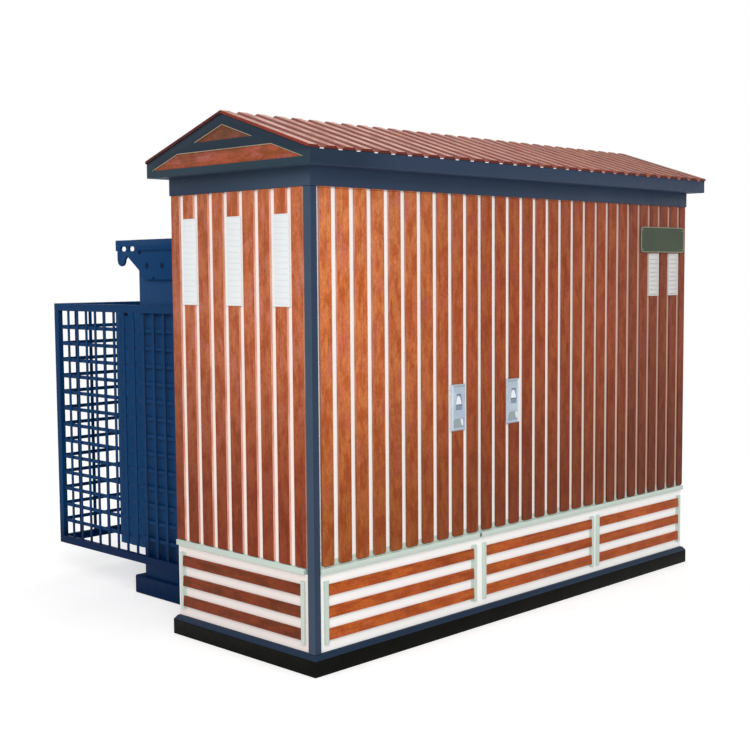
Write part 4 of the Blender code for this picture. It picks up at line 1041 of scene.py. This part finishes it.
def rib_heights(start, end):
    """Return places along the roof and the ribbed sheet's height there."""
    inner = RIB_VALLEY / 2
    outer = inner + RIB_SLANT
    slant = [(outer, 1.0), (outer - 0.0015, 0.97), (inner + 0.0015, 0.03), (inner, 0.0)]
    points = []
    for k in range(math.floor(start / RIB_PITCH) - 1, math.ceil(end / RIB_PITCH) + 2):
        points += [(k * RIB_PITCH - away, share * RIB_HEIGHT) for away, share in slant]
        points += [(k * RIB_PITCH + away, share * RIB_HEIGHT) for away, share in reversed(slant)]

    def level(place):
        before = max(point for point in points if point[0] <= place)
        after = min(point for point in points if point[0] > place)
        return before[1] + (after[1] - before[1]) * (place - before[0]) / (after[0] - before[0])

    inside = [point for point in points if start < point[0] < end]
    return [(start, level(start))] + inside + [(end, level(end))]


def roof_slope(node, way):
    """One slope of ribbed sheet, its verges folded down, with fillers in the ribs at the eave."""
    low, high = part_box(node)
    ridge, eave = (low.y, high.y) if way > 0 else (high.y, low.y)
    length = high.y - low.y
    slope = (high.z - low.z - ROOF_THICKNESS - RIB_HEIGHT) / length
    upright = math.hypot(1, slope)
    crown = RIB_HEIGHT * upright
    valley = ROOF_THICKNESS * upright
    drop = (high.z - low.z - crown - valley) / length
    profile = [(x, height * upright) for x, height in rib_heights(low.x + 0.0003, high.x - 0.0003)]

    def under(y):
        """Return the level of the slope's underside."""
        return high.z - crown - valley - drop * abs(y - ridge)

    rings = []
    for share in (0.0, 0.02, 0.5, 0.98, 1.0):
        y = ridge + (eave - ridge) * share
        level = under(y) + valley
        upper = [(x, y, level + height) for x, height in profile]
        lower = [(x, y, level + height - ROOF_SKIN) for x, height in reversed(profile)]
        rings.append(upper + lower)
    sheet = Shape()
    sheet.loft(rings)
    sheet.piece(node + "_sheet", ROOF_RED, "roof_red", replaces=(node,))
    edges = Shape()
    for outer, inner in ((low.x, low.x + VERGE_SKIN), (high.x, high.x - VERGE_SKIN)):
        edges.loft([
            [(x, y, under(y) + 0.0002) for x in (outer, inner)]
            + [(x, y, under(y) + valley + crown - 0.0003) for x in (inner, outer)]
            for y in (ridge + way * 0.0004, eave - way * 0.0004)
        ])
    edges.loft([
        [(x, y, under(y) + valley + height - ROOF_SKIN) for x, height in profile]
        + [(x, y, under(y) + 0.0003) for x in (profile[-1][0], profile[0][0])]
        for y in (eave - way * 0.0010, eave - way * 0.012)
    ])
    edges.piece(node + "_edges", ROOF_EDGE, "roof_red")


def eave_closers(node, way):
    """Small white closers in the roof's valleys along one eave."""
    low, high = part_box(node)
    eave = low.y if way < 0 else high.y
    first = math.ceil((low.x + CLOSER_MARGIN) / RIB_PITCH)
    last = math.floor((high.x - CLOSER_MARGIN) / RIB_PITCH)
    shape = Shape()
    for x in (k * RIB_PITCH for k in range(first, last + 1)):
        shape.block((x - CLOSER_WIDTH / 2, eave - way * 0.0002, low.z - 0.0030),
                    (x + CLOSER_WIDTH / 2, eave - way * 0.004, low.z + 0.0012))
    shape.piece(node + "_closers", CLOSER_WHITE, "vent_white", rounding=0.0006)


def gable_trims(name, way):
    """Thin pale edges of the timber board along the slanted and upper sides of the frame's two windows."""
    low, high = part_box(name + "_gable_frame")
    face = high.x if way > 0 else low.x
    slope = ROOF_RISE / high.y
    apex = high.z - BARGE_HEIGHT
    collar_top = high.z - COLLAR_DROP
    levels = (collar_top, collar_top - COLLAR_HEIGHT, low.z + GABLE_BEAM_HEIGHT)
    upper, middle, lower = [(apex - level) / slope for level in levels]

    def at(run, rise, reach):
        return Vector((face - way * reach, run, rise))

    shape = Shape()
    triangle = [(upper, levels[0]), (0.0, apex), (-upper, levels[0])]
    trapezoid = [(lower, levels[2]), (middle, levels[1]), (-middle, levels[1]), (-lower, levels[2])]
    for path in (triangle, trapezoid):
        shape.bead(path, TRIM_WIDTH, at, 0.0064, 0.0030)
    shape.piece(name + "_gable_trims", INFILL_TRIM, "timber_look")


def guard_panel(node):
    """One mesh guard: an angle frame and flat wires lapped over each other."""
    low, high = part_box(node)
    along = 1 if high.y - low.y > high.x - low.x else 0
    side = GUARD_FRAME if along == 1 else BACK_GUARD_SIDE
    start, end = low[along], high[along]
    first, last = start + side, end - side
    foot, top = low.z + GUARD_FRAME, high.z - GUARD_FRAME
    whole = (low[1 - along], high[1 - along])
    middle = sum(whole) / 2

    def bar(shape, runs, rises, levels):
        """Add a bar between two runs, two rises and two levels."""
        shape.block(*[(run, level, rise) if along == 0 else (level, run, rise)
                      for run, rise, level in zip(runs, rises, levels)])

    angles = Shape()
    bar(angles, (start, end), (low.z, foot), whole)
    bar(angles, (start, end), (top, high.z), whole)
    bar(angles, (start, first), (foot, top), whole)
    bar(angles, (last, end), (foot, top), whole)
    angles.piece(node + "_frame", GUARD_BLUE, "tank_blue", rounding=0.0025, replaces=(node,))
    wires = Shape()
    rows = 2 * round((top - foot) / (2 * MESH_SIZE))
    cells = 2 * round((last - first) / (2 * MESH_SIZE))
    for rise in (foot + (top - foot) * k / rows for k in range(1, rows)):
        rises = (rise - WIRE_WIDTH / 2, rise + WIRE_WIDTH / 2)
        bar(wires, (first - WIRE_LAP, last + WIRE_LAP), rises, (middle, middle + WIRE_DEPTH))
    for run in (first + (last - first) * k / cells for k in range(1, cells)):
        runs = (run - WIRE_WIDTH / 2, run + WIRE_WIDTH / 2)
        bar(wires, runs, (foot - WIRE_LAP, top + WIRE_LAP), (middle - WIRE_DEPTH, middle))
    wires.piece(node + "_wires", GUARD_BLUE, "tank_blue", rounding=0.0012)


def cover_bolts():
    """Bolt heads round the tank's cover."""
    low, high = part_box("tank_cover")
    left, right = low.x + COVER_BOLT_INSET, high.x - COVER_BOLT_INSET
    front, back = low.y + COVER_BOLT_INSET, high.y - COVER_BOLT_INSET
    places = []
    for k in range(COVER_BOLTS_LONG + 1):
        x = left + (right - left) * k / COVER_BOLTS_LONG
        places += [(x, front), (x, back)]
    for k in range(1, COVER_BOLTS_SHORT):
        y = front + (back - front) * k / COVER_BOLTS_SHORT
        places += [(left, y), (right, y)]
    shape = Shape()
    for x, y in places:
        shape.stud((x, y, high.z), (0, 0, 1), COVER_BOLT_RADIUS, COVER_BOLT_HEIGHT)
    shape.piece("tank_cover_bolts", BLUE, "tank_blue", rounding=0.0006)


def lug_marks(name, way):
    """Bolts and dimples on a lifting lug, and the plug on its radiator's end, painted dark as their shade.
    """
    low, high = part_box(name + "_lifting_lug")
    web = (low.x if way < 0 else high.x) - way * LUG_WEB_INSET
    shape = Shape()
    shape.stud((web, low.y + 0.3267, high.z - 0.064), (way, 0, 0), 0.0075, 0.005)
    shape.stud((web, low.y + 0.2127, low.z + 0.007), (way, 0, 0), 0.0055, 0.005)
    for y in (low.y + 0.2657, low.y + 0.1407):
        shape.stud((web, y, high.z - 0.129), (way, 0, 0), 0.015, 0.0012, 12)
    low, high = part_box(name + "_radiator")
    plug = (low.x if way < 0 else high.x) - way * 0.010
    shape.stud((plug, high.y - 0.1083, high.z - 0.012), (way, 0, 0), 0.009, 0.009, 10)
    shape.piece(name + "_lug_marks", MARK_BLUE, "tank_blue")


def kept_solids():
    """Paint and round the solids whose shape is right."""
    kept = [
        ("plinth", BLACK, 0.003),
        ("floor_pan", NAVY_SILL_PAINTED_SHADE, 0.0015),
        ("corner_post", NAVY, 0.004),
        ("header_band", NAVY, 0.002),
        ("eave_tray", NAVY, 0.0025),
        ("front_rail", PALE_GREEN, 0.0015),
        ("tank", BLUE, 0.002),
        ("tank_cover", BLUE, 0.002),
        ("tank_skid", SKID_BLUE, 0.002),
    ]
    for end in ("left", "right"):
        kept += [
            (end + "_gable_frame", GABLE_NAVY, 0.002),
            (end + "_gable_infill", GABLE_TIMBER, 0.001),
            (end + "_rail", PALE_GREEN, 0.0015),
            (end + "_lifting_lug", BLUE, 0.0015),
            (end + "_radiator", RADIATOR_PAINTED_LIGHT_BLUE, 0.0012),
        ]
    for node, material, rounding in kept:
        dress(node, material, rounding)


def cabinet_walls():
    """Doors, fixed panel, end walls and back wall, with what sits on them."""
    for side in ("left", "right"):
        leaf, lock = side + "_door_leaf", side + "_lock_plate"
        boarded_wall(side + "_door", FRONT, FRONT_SEAM, FRONT_TIMBER, leaf, (lock,))
        lock_plate(lock, leaf)
    vents = ("front_vent_1", "front_vent_2")
    boarded_wall("front_fixed_panel", FRONT, FIXED_SEAM, FIXED_TIMBER, covers=vents, pitch=FIXED_PITCH)
    for vent in vents:
        louvred_vent(vent, FRONT)
    for end, wall in (("left", LEFT_END), ("right", RIGHT_END)):
        vents = [end + "_vent_" + number for number in "123"]
        boarded_wall(end + "_end_wall", wall, END_SEAM, END_TIMBER, covers=vents)
        for vent in vents:
            louvred_vent(vent, wall)
        slatted_base(end + "_base_panel", wall, END_SLAT_TIMBER, END_WHITE)
    boarded_wall("back_wall", BACK, FRONT_SEAM, BACK_TIMBER)
    for name, margin in (("left", STRIP_MARGIN), ("middle", MIDDLE_MARGIN), ("right", STRIP_MARGIN)):
        slatted_base("front_base_panel_" + name, FRONT, FRONT_SLAT_TIMBER, WHITE, margin)
    sign_plate()
    door_stops()


def roof():
    """Both slopes, their closers and the gables' trims."""
    for node, way in (("roof_front_slope", -1), ("roof_back_slope", 1)):
        roof_slope(node, way)
        eave_closers(node, way)
    gable_trims("left", -1)
    gable_trims("right", 1)


def transformer():
    """What the solids of the tank, radiators and guards don't carry."""
    for node in ("left_guard", "right_guard", "back_guard"):
        guard_panel(node)
    cover_bolts()
    lug_marks("left", -1)
    lug_marks("right", 1)


def place_lamp(lamp, place, aim):
    """Put a lamp at a place and turn it to what it lights."""
    made = link(lamp.name, lamp)
    made.location = place
    made.rotation_euler = (Vector(aim) - Vector(place)).to_track_quat("-Z", "Y").to_euler()


def studio():
    """The floor, the sky and the lamps."""
    turns = [2 * math.pi * k / FLOOR_SIDES for k in range(FLOOR_SIDES)]
    rim = [(FLOOR_RADIUS * math.cos(t), FLOOR_RADIUS * math.sin(t), -FLOOR_DROP) for t in turns]
    ground = bpy.data.meshes.new("floor")
    ground.from_pydata(rim, [], [tuple(range(FLOOR_SIDES))])
    ground.materials.append(floor_material())
    link("floor", ground)
    world = bpy.data.worlds.new("pale sky")
    bpy.context.scene.world = world
    world.use_nodes = True
    n = Nodes(world.node_tree)
    sky = world.node_tree.nodes["Background"]
    sky.inputs["Color"].default_value = UNTINTED
    n.feed(sky.inputs["Strength"], n.span(seen(n), 0.0, 1.0, SKY, 1.0))
    sun = bpy.data.lights.new("soft sun", "SUN")
    sun.energy = SUN_POWER
    sun.angle = math.radians(SUN_SOFTNESS)
    place_lamp(sun, SUN_FROM, ORIGIN)
    window = bpy.data.lights.new("left window", "AREA")
    window.shape = "DISK"
    window.size = WINDOW_SIZE
    window.energy = WINDOW_POWER
    place_lamp(window, WINDOW_PLACE, WINDOW_AIM)


def camera():
    """The photo's camera."""
    lens = bpy.data.cameras.new("photo camera")
    lens.lens = LENS
    lens.sensor_width = SENSOR
    made = link("photo camera", lens)
    made.matrix_world = Matrix.Translation(EYE)
    for degrees, axis in ((HEADING - 90, "Z"), (90 + PITCH, "X"), (ROLL, "Z")):
        made.matrix_world = made.matrix_world @ Matrix.Rotation(math.radians(degrees), 4, axis)
    bpy.context.scene.camera = made


camera()
studio()
kept_solids()
cabinet_walls()
roof()
transformer()

bpy.context.scene.view_settings.view_transform = "Standard"
